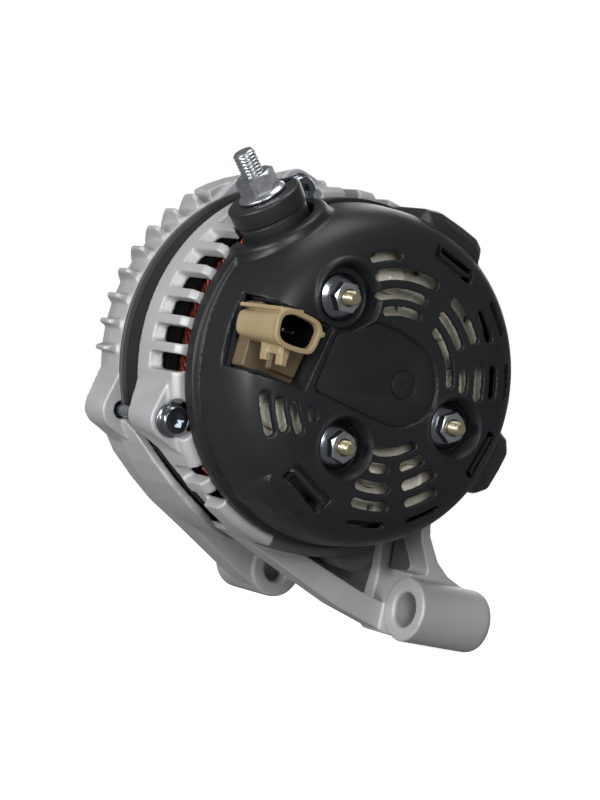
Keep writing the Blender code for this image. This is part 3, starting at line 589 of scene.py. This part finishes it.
def window_frame():
    """Inner walls of the socket window, closing the gap down to the regulator."""
    top = prism([(-54.0, 17.6), (-29.3, 13.3), (-29.3, 12.3), (-54.0, 16.6)], -34.0, -18.0)
    side = prism([(-29.3, 13.3), (-35.3, -10.6), (-36.3, -10.3), (-30.3, 13.1)], -34.5, -18.0)
    low = prism([(-36.2, -10.5), (-55.5, -8.1), (-55.5, -7.1), (-36.2, -9.5)], -34.0, -18.0)
    back = prism([(-58.2, 17.5), (-57.4, 17.5), (-57.4, -7.5), (-58.2, -7.5)], -21.0, -10.0)
    return join(top, side, low, back)


# ---- fixings and output terminal ---------------------------------------------------


def threaded(radius, pitch, y0, y1, depth=0.0, count=28, chamfer=0.8):
    """Screw thread round Y from y0 to y1, with a chamfer at the y0 end."""
    depth = depth or pitch * 0.55
    rows = int(abs(y1 - y0) / pitch * 8)
    loops = []
    for k in range(rows + 1):
        y = y0 + (y1 - y0) * k / rows
        near = abs(y - y0)
        loop = []
        for i in range(count):
            phase = ((y / pitch) - i / count) % 1.0
            cut = depth * (1.0 - abs(2.0 * phase - 1.0) * 1.25 if abs(2.0 * phase - 1.0) < 0.8 else 0.0)
            r = min(radius - cut, radius - chamfer + near * 1.1 if near < chamfer else radius)
            a = 2 * math.pi * i / count
            loop.append((r * math.cos(a), y, r * math.sin(a)))
        loops.append(loop)
    return loft(loops)


def hexagon(across, top, base, bore, count=72):
    """Hexagonal nut body round Y: flat sides, corners turned off at its top, bored through."""
    sign = 1.0 if base > top else -1.0
    crown = across / 2 * 0.955
    turns = [(360.0 / count * i + 30.0) % 60.0 - 30.0 for i in range(count)]
    sides = [across / 2 / math.cos(math.radians(turn)) for turn in turns]
    rows = [[(bore, top + sign * 0.6)] * count, [(bore + 0.5, top)] * count, [(crown, top)] * count]
    rows.append([(r, top + sign * (r - crown) * 0.55) for r in sides])
    rows += [[(r, base) for r in sides], [(bore, base)] * count]
    points = []
    for row in rows:
        for i, (r, y) in enumerate(row):
            x, z = polar(r, 360.0 / count * i)
            points.append((x, y, z))
    faces = []
    for k in range(len(rows)):
        a, b = k * count, (k + 1) % len(rows) * count
        faces += [[a + i, a + (i + 1) % count, b + (i + 1) % count, b + i] for i in range(count)]
    return points, faces


def flange_nut(across, top, seat, flange, bore, turn):
    sign = 1.0 if seat > top else -1.0
    lip = seat - sign * 0.8
    body = hexagon(across, top, seat - sign * 0.2, bore)
    skirt = fillet([(bore, seat, 0), (flange, seat, 0.3), (flange, lip, 0.5),
                    (across / 2 + 1.3, lip - sign * 0.9, 0.9), (across / 2 - 0.5, lip - sign * 1.5, 0),
                    (bore, lip - sign * 1.5, 0)], 0.3, 3)
    return moved(body, Matrix.Rotation(math.radians(turn), 4, "Y")), lathe(skirt, 72)


def fixings():
    for number, (x, z, _) in enumerate(NUTS, 1):
        stud = threaded(2.6, 1.35, -39.4, -27.0, 0.55)
        rod = plug([(2.4, -27.2), (2.4, -1.7)], 32)
        made = place(f"stud_{number}", at(join(stud, rod), x, z), YELLOW, 28.0)
        put(made, "frame", f"cover_stud_{number}")
        body, skirt = flange_nut(10.0, -34.9, -29.3, 8.4, 2.7, 8.0 + 19.0 * number)
        put(place(f"nut_{number}", at(body, x, z), ZINC, 28.0), "frame", f"cover_nut_{number}")
        put(place(f"nut_flange_{number}", at(skirt, x, z), DARK_REFLECTION_ZINC, 28.0), "frame")


def terminal():
    stud = join(threaded(4.0, 1.25, 91.0, 73.0, count=36), plug([(3.9, 73.2), (3.9, 52.0)], 36))
    put(place("output_stud", radial(stud), ZINC, 28.0), "frame", "b_plus_stud")
    body = flange_nut(12.5, 82.2, 73.8, 8.7, 4.2, 10.0)
    put(place("output_nut", radial(join(*body)), ZINC, 28.0), "frame", "b_plus_nut")
    outline = [
        (4.4, 60.3), (12.6, 60.3), (12.7, 65.6), (12.3, 65.9), (12.3, 66.5), (13.5, 66.8), (13.8, 72.8, 0.8),
        (13.0, 73.5), (4.4, 73.5),
    ]
    made = place("insulator", radial(lathe(fillet(outline, 0.35, 3), 96)), BLACK)
    hole = radial(at(prism(circle(0, 0, 1.5, 20), 69.0, 80.0), -10.8, -1.0))
    combine(made, hole, "DIFFERENCE")
    put(made, "frame", "b_plus_insulator")


# ---- regulator and rectifier --------------------------------------------------------

MOUTH = (
    (-59.7, 14.1), (-54.4, 14.0), (-47.9, 12.6), (-45.7, 10.2), (-45.6, 8.4), (-46.8, 3.4),
    (-49.3, 1.1), (-57.2, 1.2), (-61.9, 2.8), (-63.5, 6.4), (-63.1, 11.9),
)


def mouth(depth, y):
    """Outline of the connector's mouth, drawn in by some depth, at one station."""
    wide, high = 1.0 - depth / 8.9, 1.0 - depth / 6.5
    return [(-54.6 + (x + 54.6) * wide, y, 7.6 + (z - 7.6) * high) for x, z in round_curve(MOUTH)]


def regulator():
    base = prism(fillet([(-55.3, 16.4), (-30.6, 12.2), (-36.2, -9.4), (-57.2, -6.7)], 1.2), -27.6, -18.0)
    step = prism(fillet([(-46.5, 13.4), (-32.4, 10.6), (-36.8, -7.0), (-47.5, -5.6)], 1.2), -29.6, -26.0)
    made = place("regulator_body", base, SHADED_TAN)
    combine(made, step, "UNION")
    soften(made, 0.4, 2, 30000)
    put(made, "frame", "regulator")
    shell = loft([mouth(1.5, -26.0), mouth(0.7, -45.0), mouth(0.4, -52.0), mouth(-0.1, -52.7),
                  mouth(-0.1, -54.0)])
    made = place("socket", shell, TAN)
    rib = prism([(-62.8, 14.4), (-54.0, 14.9), (-54.0, 13.4), (-62.8, 13.0)], -53.4, -27.0)
    ear = prism([(-47.0, 7.0), (-44.2, 7.9), (-44.2, 9.5), (-47.0, 9.2)], -54.0, -50.8)
    feet = [
        prism([(-57.9, 3.0), (-57.3, -3.4), (-55.2, -3.6), (-54.8, 3.0)], -41.2, -37.4),
        prism([(-56.7, 3.0), (-56.1, -4.4), (-54.0, -4.6), (-53.4, 3.0)], -49.6, -45.6),
        prism([(-57.2, 2.6), (-56.8, -0.9), (-54.8, -1.1), (-54.2, 2.6)], -48.0, -38.0),
    ]
    for extra in (rib, ear, *feet):
        combine(made, extra, "UNION")
    combine(made, loft([mouth(1.5, -56.0), mouth(1.6, -52.0), mouth(2.4, -31.0)]), "DIFFERENCE")
    soften(made, 0.28, 2, 70000)
    put(made, "frame")
    # Painted shade: a black sheet inside the socket's mouth, standing in for its dark inside.
    mouth_shade = place("socket_painted_shade", loft([mouth(1.45, -51.4), mouth(2.2, -30.0)]), SHADE)
    combine(mouth_shade, loft([mouth(1.9, -56.0), mouth(2.7, -33.0)]), "DIFFERENCE")
    put(mouth_shade, "frame")


DIODE_PLACES = ((36.0, 95.0), (33.0, 48.0), (33.0, 8.0), (33.0, 283.0), (40.0, 306.0), (43.0, 207.5))
SMALL_HOLES = ((44.5, 106.0), (41.5, 78.0), (44.0, 66.0), (27.0, 82.0), (43.5, 22.0), (29.5, 28.0),
               (27.5, 271.0), (46.0, 283.0), (45.0, 40.0), (38.5, 318.0), (47.0, 352.0), (27.0, 355.0))


def rectifier():
    for name, r1, y0, y1 in (("positive", 50.5, -24.0, -21.0), ("negative", 54.0, -16.0, -13.0)):
        outline = arc(r1, -163.0, 149.0, 90) + arc(21.5, 149.0, -163.0, 70)
        made = place(f"plate_{name}", prism(fillet(outline, 2.0), y0, y1), PLATE)
        cuts = [prism(circle(x, z, 5.0, 32), -30, -5) for x, z, _ in NUTS]
        if name == "positive":
            cuts += [prism(circle(*polar(r, a), 5.9, 40), -30, -15) for r, a in DIODE_PLACES]
            cuts += [prism(circle(*polar(r, a), 1.5, 20), -30, -15) for r, a in SMALL_HOLES]
        combine(made, join(*cuts), "DIFFERENCE")
        bevel(made, 0.25)
        put(made, "frame", f"rectifier_plate_{name}")
    for number, (radius, angle) in enumerate(DIODE_PLACES, 1):
        x, z = polar(radius, angle)
        outline = [(0.6, -26.6), (1.2, -26.2), (3.4, -26.2), (3.7, -25.6), (4.3, -25.6), (4.6, -26.1),
                   (5.3, -26.1), (5.6, -25.6), (5.6, -19.0)]
        can = plug(fillet(outline, 0.15, 2, closed=False), 48)
        put(place(f"diode_can_{number}", at(can, x, z), DIODE), "frame", f"diode_{number}")
    deck = prism(fillet(arc(56.0, 0, 360, 60)[:-1], 0.0), -8.5, -6.5)
    deck = place("terminal_deck", deck, BLACK)
    combine(deck, prism(circle(0, 0, 19.0, 48), -12.0, 0.0), "DIFFERENCE")
    combine(deck, radial(plug([(19.0, 40.0), (19.0, 80.0)], 40)), "DIFFERENCE")
    put(deck, "frame")


# ---- housings -----------------------------------------------------------------------

VENT_PITCH = 8.6
SHORT_VENTS = [225.0, 235.0]
SHORTER = -5.0
REAR_VENTS = [137.0 + VENT_PITCH * i for i in range(7)] + SHORT_VENTS
REAR_VENTS += [50.0, 62.0, 74.0, 86.0, 98.0, 8.0, 356.0, 344.0, 332.0]
VENT_STAGES = (
    (54.0, 2.9, 1.0, 16.4), (61.0, 2.9, 1.0, 16.6), (64.0, 3.0, 0.2, 17.6), (65.5, 3.1, -0.6, 18.6),
    (70.0, 3.6, -1.0, 19.8),
)
FLANK = 12.5
SPOKES = (135.5, 242.5, 341.0, 26.0, 80.0, 190.0, 295.0)


def wall_openings(centres, half, r0, r1, y0, y1):
    found = []
    order = sorted(c % 360.0 for c in centres)
    for here, after in zip(order, order[1:] + [order[0] + 360.0]):
        if after - here - 2 * half > 6.0:
            found.append(sector(r0, r1, here + half, after - half, y0, y1, 2.5))
    return found


def boss(angle, radius, y0, y1, slim):
    """Boss on the bolt circle with flanks running out into the wall, slimmer at its far end."""
    loops = []
    for y, r, reach in ((y0, radius, BOLT_CIRCLE), (y1, radius - slim, BOLT_CIRCLE - slim * 0.3)):
        x, z = polar(reach, angle)
        crown = [polar(r, angle + step) for step in range(-40, 41, 8)]
        before, after = angle - FLANK, angle + FLANK
        outline = [polar(66.3, before), *[(x + px, z + pz) for px, pz in crown], polar(66.3, after)]
        outline += arc(65.0, after, before, 8)
        loops.append([(px, y, pz) for px, pz in outline])
    return loft(loops)


# Angle and station along the front housing's skirt and the rear housing's drawn-back edge.
SKIRT = (
    (209.0, 39.0), (212.0, 33.5), (216.0, 30.0), (222.0, 26.8), (230.0, 23.6), (240.0, 22.0),
    (244.0, 22.4), (248.0, 24.2), (253.0, 27.6), (262.0, 33.0), (268.0, 39.0),
)
NOTCH = (
    (210.5, 28.5), (213.0, 25.2), (220.0, 19.0), (226.0, 14.6), (235.0, 12.6), (243.0, 12.2),
    (247.0, 13.3), (250.0, 15.4), (252.5, 18.6),
)


def rim_piece(stations, r0, r1, far):
    """Piece of wall between two radii from a curving edge to one flat end."""
    loops = []
    for angle, y in stations:
        x, z = polar(1.0, angle)
        corners = ((r0, y), (r1, y), (r1, far), (r0, far))
        loops.append([(x * r, at_y, z * r) for r, at_y in corners])
    return loft(loops)


def rear_housing():
    outline = [
        (17.8, -5.0), (59.7, -5.0), (59.7, 0.5), (65.2, 0.6, 1.5), (66.9, 3.0, 1.5), (66.9, 27.6, 0.4),
        (64.3, 27.6), (64.3, 18.0), (62.2, 18.0), (62.2, 3.0), (57.0, -1.0), (22.0, -1.0), (22.0, 6.0),
        (17.8, 6.0),
    ]
    made = place("rear_casting", lathe(fillet(outline, 0.3), 144), CAST)
    vents = [vent(a, SHORTER if a in SHORT_VENTS else 0.0) for a in REAR_VENTS]
    combine(made, join(*vents), "DIFFERENCE")
    combine(made, join(*wall_openings(SPOKES, 13.0, 26.0, 53.0, -9.0, 3.0)), "DIFFERENCE")
    combine(made, join(*[boss(a, 7.8, seat, 27.5, 2.2) for a, seat in zip(BOLT_DEG, SEATS)]), "UNION")
    combine(made, rim_piece(NOTCH, 64.25, 80.0, 30.0), "DIFFERENCE")
    for shape in arms():
        combine(made, shape, "UNION")
    combine(made, prism(fillet(RECESS, 1.5, 3), 1.7, 14.9), "DIFFERENCE")
    lug = fillet([(12.0, 54.0, 0), (12.0, 88.0, 5.0), (4.0, 88.0, 0)], 5.0, 8, closed=False)
    combine(made, crossways(plug(lug, 96)), "UNION")
    places = [polar(BOLT_CIRCLE, a) for a in BOLT_DEG]
    profile = [(7.4, 40.0), (7.4, 53.9), (6.5, 54.8), (6.5, 87.2), (7.4, 88.1), (7.4, 100.0)]
    bore = crossways(plug(profile, 64))
    holes = [prism(circle(x, z, REAR_HOLE, 24), seat - 1.5, 40.0) for (x, z), seat in zip(places, SEATS)]
    holes += [prism(circle(x, z, 2.9, 24), -10.0, 3.0) for x, z, _ in NUTS]
    combine(made, join(bore, *holes), "DIFFERENCE")
    for (x, z), seat in zip(places, SEATS):
        cup = [(7.5, -30.0), (7.5, seat - 3.5), (6.6, seat)]
        combine(made, at(plug(cup, 40), x, z), "DIFFERENCE")
    combine(made, radial(plug([(14.3, 52.0), (14.3, 80.0)], 48)), "DIFFERENCE")
    mark = crossways(lathe([(2.4, 11.0), (2.9, 11.0), (2.9, 13.0), (2.4, 13.0)], 40), 0, 0)
    turn = Matrix.Translation((79.0, LUG_Y, LUG_Z)) @ Matrix.Rotation(math.radians(-90), 4, "Z")
    combine(made, moved(mark, turn), "DIFFERENCE")
    soften(made, CAST_VOXEL, 3)
    put(made, "frame", "rear_housing")
    # Painted shade: dark sheets over the pocket between the arms, the ring under the cover and the last
    # bolt's head.
    put(place("arm_recess_painted_shade", recess_painted_shade(), SHADED_CAST), "frame")


def recess_painted_shade():
    """Dark sheets of painted shade: floor between the arms, skin on the ring, floor of the recess, last
    bolt's boss.
    """
    floor = [(-8.0, -64.0), (16.5, -74.5), (34.0, -80.5), (49.0, -84.5), (50.5, -66.0), (48.0, -50.0)]
    x, z = polar(BOLT_CIRCLE, BOLT_DEG[3])
    return join(
        prism(floor + arc(66.0, 312.0, 264.0, 16), 22.9, 23.6),
        sector(61.0, 67.2, 260.0, 320.0, 0.4, 15.0, 3.0),
        prism(fillet(RECESS, 1.5, 3), 14.2, 15.3),
        prism(circle(x, z, 9.0), 6.5, 23.0),
    )


def vent(angle, reach):
    """Window between two ribs: straight inside, flared outside, open over the shoulder."""
    loops = []
    for radius, half, y0, y1 in VENT_STAGES:
        end = y1 + reach
        outline = fillet([(-half, y0), (half, y0), (half, end), (-half, end)], 1.5, 4)
        x, z = polar(1.0, angle)
        loops.append([(x * radius - z * s, y, z * radius + x * s) for s, y in outline])
    return loft(loops)


RECESS = ((51.5, -41.5), (54.6, -38.5), (54.2, -45.0), (56.0, -53.0), (61.0, -61.5), (62.5, -65.2),
          (57.0, -66.0), (52.9, -66.0))


def arms():
    web = [
        (-20.0, -63.5), (16.5, -76.5), (34.0, -83.2), (53.0, -87.8), (57.0, -89.6), (86.0, -89.6),
        (86.0, -70.0), (72.0, -65.0), (65.0, -60.0), (58.5, -50.0), (57.5, -38.0),
    ]
    left = [
        (-24.0, -61.6), (-2.0, -70.2), (16.5, -77.4), (34.3, -84.1), (50.0, -88.3), (60.0, -91.0),
        (60.0, -80.6), (42.5, -76.5), (24.0, -70.4), (10.0, -65.6),
    ]
    right = [
        (54.5, -90.6), (86.0, -90.2), (86.0, -69.0), (78.0, -66.8), (72.0, -64.5), (66.0, -60.0),
        (60.0, -51.0), (58.5, -45.0), (59.6, -27.5), (57.6, -30.8), (51.5, -40.4), (54.5, -66.5),
    ]
    return (
        prism(web + arc(65.5, 323.0, 250.0, 24), 23.4, 26.6),
        prism(left + arc(65.5, 272.0, 251.0, 10), 15.7, 27.2),
        prism(fillet(right, 1.2, 3), 3.0, 27.2),
    )


FIN_PITCH = 360.0 / 46
FIN_PLACES = [187.2 - FIN_PITCH * i for i in range(34)]
FRONT_FINS = [angle for angle in FIN_PLACES if not 92.0 < angle < 131.0]
FIN_STAGES = ((42.4, 71.0, 2.4), (43.8, 72.2, 2.4), (50.0, 72.0, 2.3), (54.0, 69.5, 2.2), (60.0, 65.0, 2.0))


def fin(angle):
    """Cooling fin with a broad root and a round tip, lower toward the pulley."""
    loops = []
    for y, tip, root in FIN_STAGES:
        wide = math.degrees(root / 66.0)
        half = math.degrees(1.05 / tip)
        foot = min(66.4, tip - 1.5)
        right = [(60.5, wide), (foot, wide * 0.9), (foot * 0.7 + tip * 0.3, half * 1.4), (tip - 1.2, half),
                 (tip - 0.3, half * 0.8), (tip, half * 0.3)]
        flat = [polar(r, angle - a) for r, a in right] + [polar(r, angle + a) for r, a in reversed(right)]
        loops.append([(x, y, z) for x, z in flat])
    return loft(loops)


def front_housing():
    outline = [
        (64.3, 40.4), (66.9, 40.4, 0.5), (67.0, 43.0), (66.8, 50.0, 3.0), (65.2, 57.0, 3.0),
        (62.2, 63.0, 3.0), (57.0, 66.8, 3.0), (28.0, 67.0, 1.5), (28.0, 77.5, 1.0), (26.0, 80.5, 1.0),
        (12.0, 80.5), (12.0, 77.2), (23.8, 77.2), (23.8, 63.0), (56.5, 63.0), (61.0, 60.5),
        (61.0, 50.3), (64.3, 50.3),
    ]
    made = place("front_casting", lathe(fillet(outline, 0.3), 184), CAST)
    raised = sector(64.9, 70.9, 93.5, 128.0, 42.6, 54.0, 1.6)
    combine(made, join(*[fin(a) for a in FRONT_FINS], raised), "UNION")
    spokes = [26.0 + 45.0 * i for i in range(8)]
    combine(made, join(*wall_openings(spokes, 9.3, 31.0, 55.0, 60.0, 75.0)), "DIFFERENCE")
    ribs = [sector(27.0, 58.0, a - 1.6, a + 1.6, 64.0, 69.4) for a in spokes]
    combine(made, join(*ribs), "UNION")
    for angle in BOLT_DEG:
        radius = 5.2 if angle == TOP_BOLT else 7.8
        slim = 0.5 if angle == SKIRT_BOLT else 3.0
        combine(made, boss(angle, radius, 40.4, 56.0, slim), "UNION")
    combine(made, rim_piece(SKIRT, 65.0, 68.2, 46.0), "UNION")
    combine(made, strut(), "UNION")
    ear = [(4.0, 45.9, 0), (10.9, 45.9, 0.8), (11.2, 48.0, 3.0), (11.4, 73.0, 0.6), (4.0, 73.0, 0)]
    ear = fillet(ear, 1.0, 5)
    combine(made, at(plug(ear[1:-1], 72), EAR_X, EAR_Z), "UNION")
    places = [polar(BOLT_CIRCLE, a) for a in BOLT_DEG]
    bores = [prism(circle(x, z, FRONT_HOLE, 24), 30.0, 51.5) for x, z in places]
    bore = plug([(6.2, 30.0), (6.2, 45.9), (5.35, 46.8), (5.35, 72.2), (6.2, 73.1), (6.2, 90.0)], 56)
    bores.append(at(bore, EAR_X, EAR_Z))
    combine(made, join(*bores), "DIFFERENCE")
    soften(made, CAST_VOXEL, 2)
    put(made, "frame", "front_housing")
    # Painted shade: the rear-facing face of the front housing's rim, drawn in the darker shaded cast finish.
    rim = fillet([(64.55, 39.3), (66.7, 39.3), (66.9, 39.6), (66.9, 40.8), (64.55, 40.8)], 0.1)
    put(place("front_rim", lathe(rim, 180), SHADED_CAST), "frame")


def strut():
    outline = [
        (-57.0, -35.5), (-49.6, -44.6), (-40.0, -52.4), (-30.0, -59.4), (-12.0, -69.0), (9.0, -80.5),
        (16.0, -83.6), (22.0, -85.4), (28.0, -84.8), (33.0, -79.0), (37.5, -68.0), (40.0, -58.0),
    ]
    return prism(outline + arc(62.5, 303.0, 216.0, 30), 46.5, 60.0)


def bolts():
    for number, (angle, s) in enumerate(zip(BOLT_DEG, SEATS), 1):
        x, z = polar(BOLT_CIRCLE, angle)
        head = fillet([(4.4, s - 5.1, 0.8), (5.2, s - 4.1, 0.8), (5.2, s - 1.9, 0.4), (6.3, s - 1.3, 0.3),
                       (6.3, s - 0.3, 0.2)], 0.4, 4)
        shape = at(plug(head + [(2.5, s - 0.3), (2.5, 50.5)], 48), x, z)
        made = place(f"bolt_{number}", shape, DARK_REFLECTION_ZINC, 40.0)
        cut = prism(circle(x, z, 2.9, 6, 10.0), s - 11.5, s - 2.5)
        cone = at(plug([(3.7, s - 6.5), (2.4, s - 4.2)], 32), x, z)
        combine(made, cut, "DIFFERENCE")
        combine(made, cone, "DIFFERENCE")
        put(made, "frame", f"through_bolt_{number}")


# ---- stator -------------------------------------------------------------------------


def stator():
    outline = [(50.8, 18.3), (64.0, 18.3), (64.0, 27.2)]
    for i in range(12):
        y = 27.9 + i
        outline += [(64.5, y), (64.5, y + 0.72), (64.42, y + 0.82), (64.42, y + 0.92)]
    outline += [(64.0, 39.9), (64.0, 50.0), (50.8, 50.0)]
    made = place("stator_stack", lathe(outline, 180), CHARCOAL, 60.0)
    places = [360.0 / STATOR_SLOTS * i for i in range(STATOR_SLOTS)]
    cuts = [sector(49.0, 60.2, a - 1.9, a + 1.9, 10.0, 60.0) for a in places]
    combine(made, join(*cuts), "DIFFERENCE")
    put(made, "frame", "stator_core")
    wires = []
    for sign, y0, y1, seat in ((1.0, 18.6, 2.2, 0.0), (-1.0, 49.6, 59.8, 2.0)):
        for layer, (radius, lean) in enumerate(((59.3, 1.0), (57.1, -1.0), (54.9, 1.0))):
            for i in range(HAIRPINS):
                start = i * 360.0 / HAIRPINS + layer * 1.6 + seat
                wires.append(hairpin(start, radius, y0, y1, lean * sign))
    made = place("winding", join(*wires), COPPER, 60.0)
    legs = [sector(53.1, 59.9, a - 1.6, a + 1.6, 18.0, 50.4) for a in places]
    put(made, "frame", "stator_winding")
    put(place("slot_bars", join(*legs), COPPER), "frame")
    # Painted shade: a black ring behind the rear housing's vents, standing in for their dark inside.
    vent_shade = lathe([(60.5, 9.6), (61.4, 9.6), (61.4, 18.2), (60.5, 18.2)], 120)
    put(place("vent_painted_shade", vent_shade, SHADE), "frame")


BEND = (
    (0.0, 0.0, 2.6), (0.18, 0.2, 2.4), (0.34, 1.4, 1.0), (0.50, 4.0, 0.0), (0.68, 8.0, 0.0),
    (0.84, 11.0, 0.2), (0.93, 12.2, 0.8), (1.0, 12.6, 1.6),
)


def hairpin(start, radius, y0, y1, lean):
    """One slanted wire of the winding's end; BEND gives share of length, turn and dip."""
    path = []
    span = y1 - y0
    for share, turn, dip in BEND:
        x, z = polar(radius - dip, start + lean * turn)
        path.append(Vector((x, y0 + span * share, z)))
    return tube(path, 0.95, 6)


def tube(path, radius, sides):
    loops = []
    for k, point in enumerate(path):
        ahead = path[min(k + 1, len(path) - 1)] - path[max(k - 1, 0)]
        ahead.normalize()
        out = Vector((point.x, 0.0, point.z)).normalized()
        side = ahead.cross(out).normalized()
        loops.append([tuple(point + radius * (math.cos(a) * out + math.sin(a) * side))
                      for a in [2 * math.pi * j / sides for j in range(sides)]])
    return loft(loops)


# ---- pulley and shaft ----------------------------------------------------------------


def pulley():
    base, pitch, ribs = 81.6, 3.56, 6
    outline = [(11.4, base, 0.2), (29.0, base, 0.6), (29.0, base + 1.6, 0.5)]
    for i in range(ribs):
        y = base + 2.4 + pitch * i
        outline += [(28.4, y, 0.25), (25.4, y + 1.6, 0.3), (25.4, y + 1.96, 0.3), (28.4, y + 3.4, 0.25)]
    outline += [
        (29.0, base + 24.4, 0.5), (29.0, base + 25.9, 0.6), (24.6, base + 25.9, 0.5),
        (22.5, base + 19.4, 1.5), (14.0, base + 19.0, 1.0), (13.2, base + 23.4, 0.4),
        (8.8, base + 23.4, 0.2), (8.8, 77.2, 0.2), (11.4, 77.2, 0.2),
    ]
    put(place("pulley_wheel", lathe(fillet(outline, 0.2, 3), 144), STEEL, 40.0), "rotor", "pulley")
    made = place("shaft_nut", hexagon(22.0, 112.5, 106.9, 8.35), ZINC, 25.0)
    put(made, "rotor", "pulley_nut")
    seat = fillet([(8.4, 105.3), (12.9, 105.3), (12.9, 106.5), (11.4, 107.2), (8.4, 107.2)], 0.3, 3)
    put(place("shaft_nut_flange", lathe(seat, 72), ZINC), "rotor")
    put(place("bearing_seals", join(*seals()), BLACK), "frame")


def seals():
    """Thin rings over both ends of the rear and the front bearing."""
    made = []
    for r0, r1, stations in ((12.6, 14.3, (-4.7, 5.1)), (14.3, 21.6, (63.8, 75.8))):
        for y in stations:
            ring = [(r0, y), (r1, y), (r1, y + 0.6), (r0, y + 0.6)]
            made.append(lathe(fillet(ring, 0.1), 64))
    return made


def inner_edges():
    """Small bevels on the CAD nodes that stay in the picture."""
    for name in ("pole_rear", "pole_front"):
        add_bevel(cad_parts[name], 0.5)
    for name in ("fan_rear", "fan_front", "brush_holder", "bearing_retainer", "spacer"):
        add_bevel(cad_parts[name], 0.2)


LOOKS = {
    "shaft": STEEL, "slip_ring_1": BRASS, "slip_ring_2": BRASS, "pole_rear": IRON, "pole_front": IRON,
    "field_coil": COPPER, "coil_core": IRON, "fan_rear": STEEL, "fan_front": STEEL, "spacer": STEEL,
    "rear_bearing_inner": STEEL, "rear_bearing_outer": STEEL, "front_bearing_inner": STEEL,
    "front_bearing_outer": STEEL, "bearing_retainer": ZINC, "brush_holder": BLACK, "brush_1": CARBON,
    "brush_2": CARBON, "brush_spring_1": STEEL, "brush_spring_2": STEEL, "connector_pin_1": ZINC,
    "connector_pin_2": ZINC, "connector_pin_3": ZINC,
}


def finish_nodes():
    for name, look in LOOKS.items():
        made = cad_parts[name]
        for made_slot in made.material_slots:
            made_slot.link = "OBJECT"
            made_slot.material = look


# ---- stage, light and camera ----------------------------------------------------------


def stage():
    floor = bpy.data.meshes.new("floor")
    low, wide = CAD_BOX[0].z - 0.5 * MM, 60
    corners = [(-wide, -wide, low), (wide, -wide, low), (wide, wide, low), (-wide, wide, low)]
    floor.from_pydata(corners, [], [(0, 1, 2, 3)])
    floor.materials.append(FLOOR)
    made = bpy.data.objects.new("floor", floor)
    bpy.context.collection.objects.link(made)
    made.visible_diffuse = False
    made.visible_glossy = False
    made.visible_shadow = False


def lamp(name, place_at, size, power, aim=(0.0, -0.11, 0.0)):
    data = bpy.data.lights.new(name, "AREA")
    data.shape = "RECTANGLE"
    data.size, data.size_y = size
    data.energy = power
    made = bpy.data.objects.new(name, data)
    made.location = place_at
    made.rotation_mode = "QUATERNION"
    made.rotation_quaternion = (Vector(aim) - Vector(place_at)).to_track_quat("-Z", "Y")
    bpy.context.collection.objects.link(made)


def lights():
    world = bpy.data.worlds.new("studio")
    world.use_nodes = True
    tree = world.node_tree
    soft = tree.nodes["Background"]
    soft.inputs["Color"].default_value = (1.0, 1.0, 1.0, 1.0)
    soft.inputs["Strength"].default_value = 0.18
    seen = node(tree, "ShaderNodeBackground", (0, -200), Strength=1.0)
    seen.inputs["Color"].default_value = (1.0, 1.0, 1.0, 1.0)
    path = node(tree, "ShaderNodeLightPath", (-300, 300))
    both = node(tree, "ShaderNodeMixShader", (200, 0))
    tree.links.new(path.outputs["Is Camera Ray"], both.inputs["Fac"])
    tree.links.new(soft.outputs[0], both.inputs[1])
    tree.links.new(seen.outputs[0], both.inputs[2])
    tree.links.new(both.outputs[0], tree.nodes["World Output"].inputs["Surface"])
    bpy.context.scene.world = world
    lamp("key", (-1.20, -0.16, 0.03), (0.4, 0.4), 6.0)
    lamp("low", (-0.80, -0.45, -0.10), (0.16, 0.16), 3.4, (0.054, -0.11, -0.08))
    lamp("top", (-0.15, -0.15, 1.00), (0.7, 0.5), 4.5)
    lamp("fill", (-0.42, -1.02, 0.20), (0.3, 0.3), 5.2)
    lamp("back", (0.70, 0.60, 0.45), (0.5, 0.6), 3.0)


AZIMUTH, ELEVATION, ROLL = -33.528, -1.622, 12.334
CAMERA_REACH, CAMERA_SIDE, CAMERA_DROP = 0.9, 0.013015, 0.009761
CAMERA_LENS = 112.02


def camera():
    azimuth, elevation, roll = map(math.radians, (AZIMUTH, ELEVATION, ROLL))
    back = Vector((math.sin(azimuth) * math.cos(elevation), -math.cos(azimuth) * math.cos(elevation),
                   math.sin(elevation)))
    level = Vector((math.cos(azimuth), math.sin(azimuth), 0.0))
    upward = back.cross(level)
    right = math.cos(roll) * level + math.sin(roll) * upward
    up = math.cos(roll) * upward - math.sin(roll) * level
    data = bpy.data.cameras.new("camera")
    data.sensor_width = 36.0
    data.lens = CAMERA_LENS
    made = bpy.data.objects.new("camera", data)
    spot = Vector((0.0, -SHAFT_END * MM, 0.0)) + CAMERA_REACH * back - CAMERA_SIDE * right - CAMERA_DROP * up
    turn = Matrix((right, up, back)).transposed().to_4x4()
    made.matrix_world = Matrix.Translation(spot) @ turn
    bpy.context.collection.objects.link(made)
    bpy.context.scene.camera = made


def main():
    camera()
    lights()
    stage()
    cover()
    fixings()
    terminal()
    regulator()
    rectifier()
    rear_housing()
    front_housing()
    bolts()
    stator()
    pulley()
    inner_edges()
    finish_nodes()
    bpy.context.scene.view_settings.view_transform = "Standard"


main()
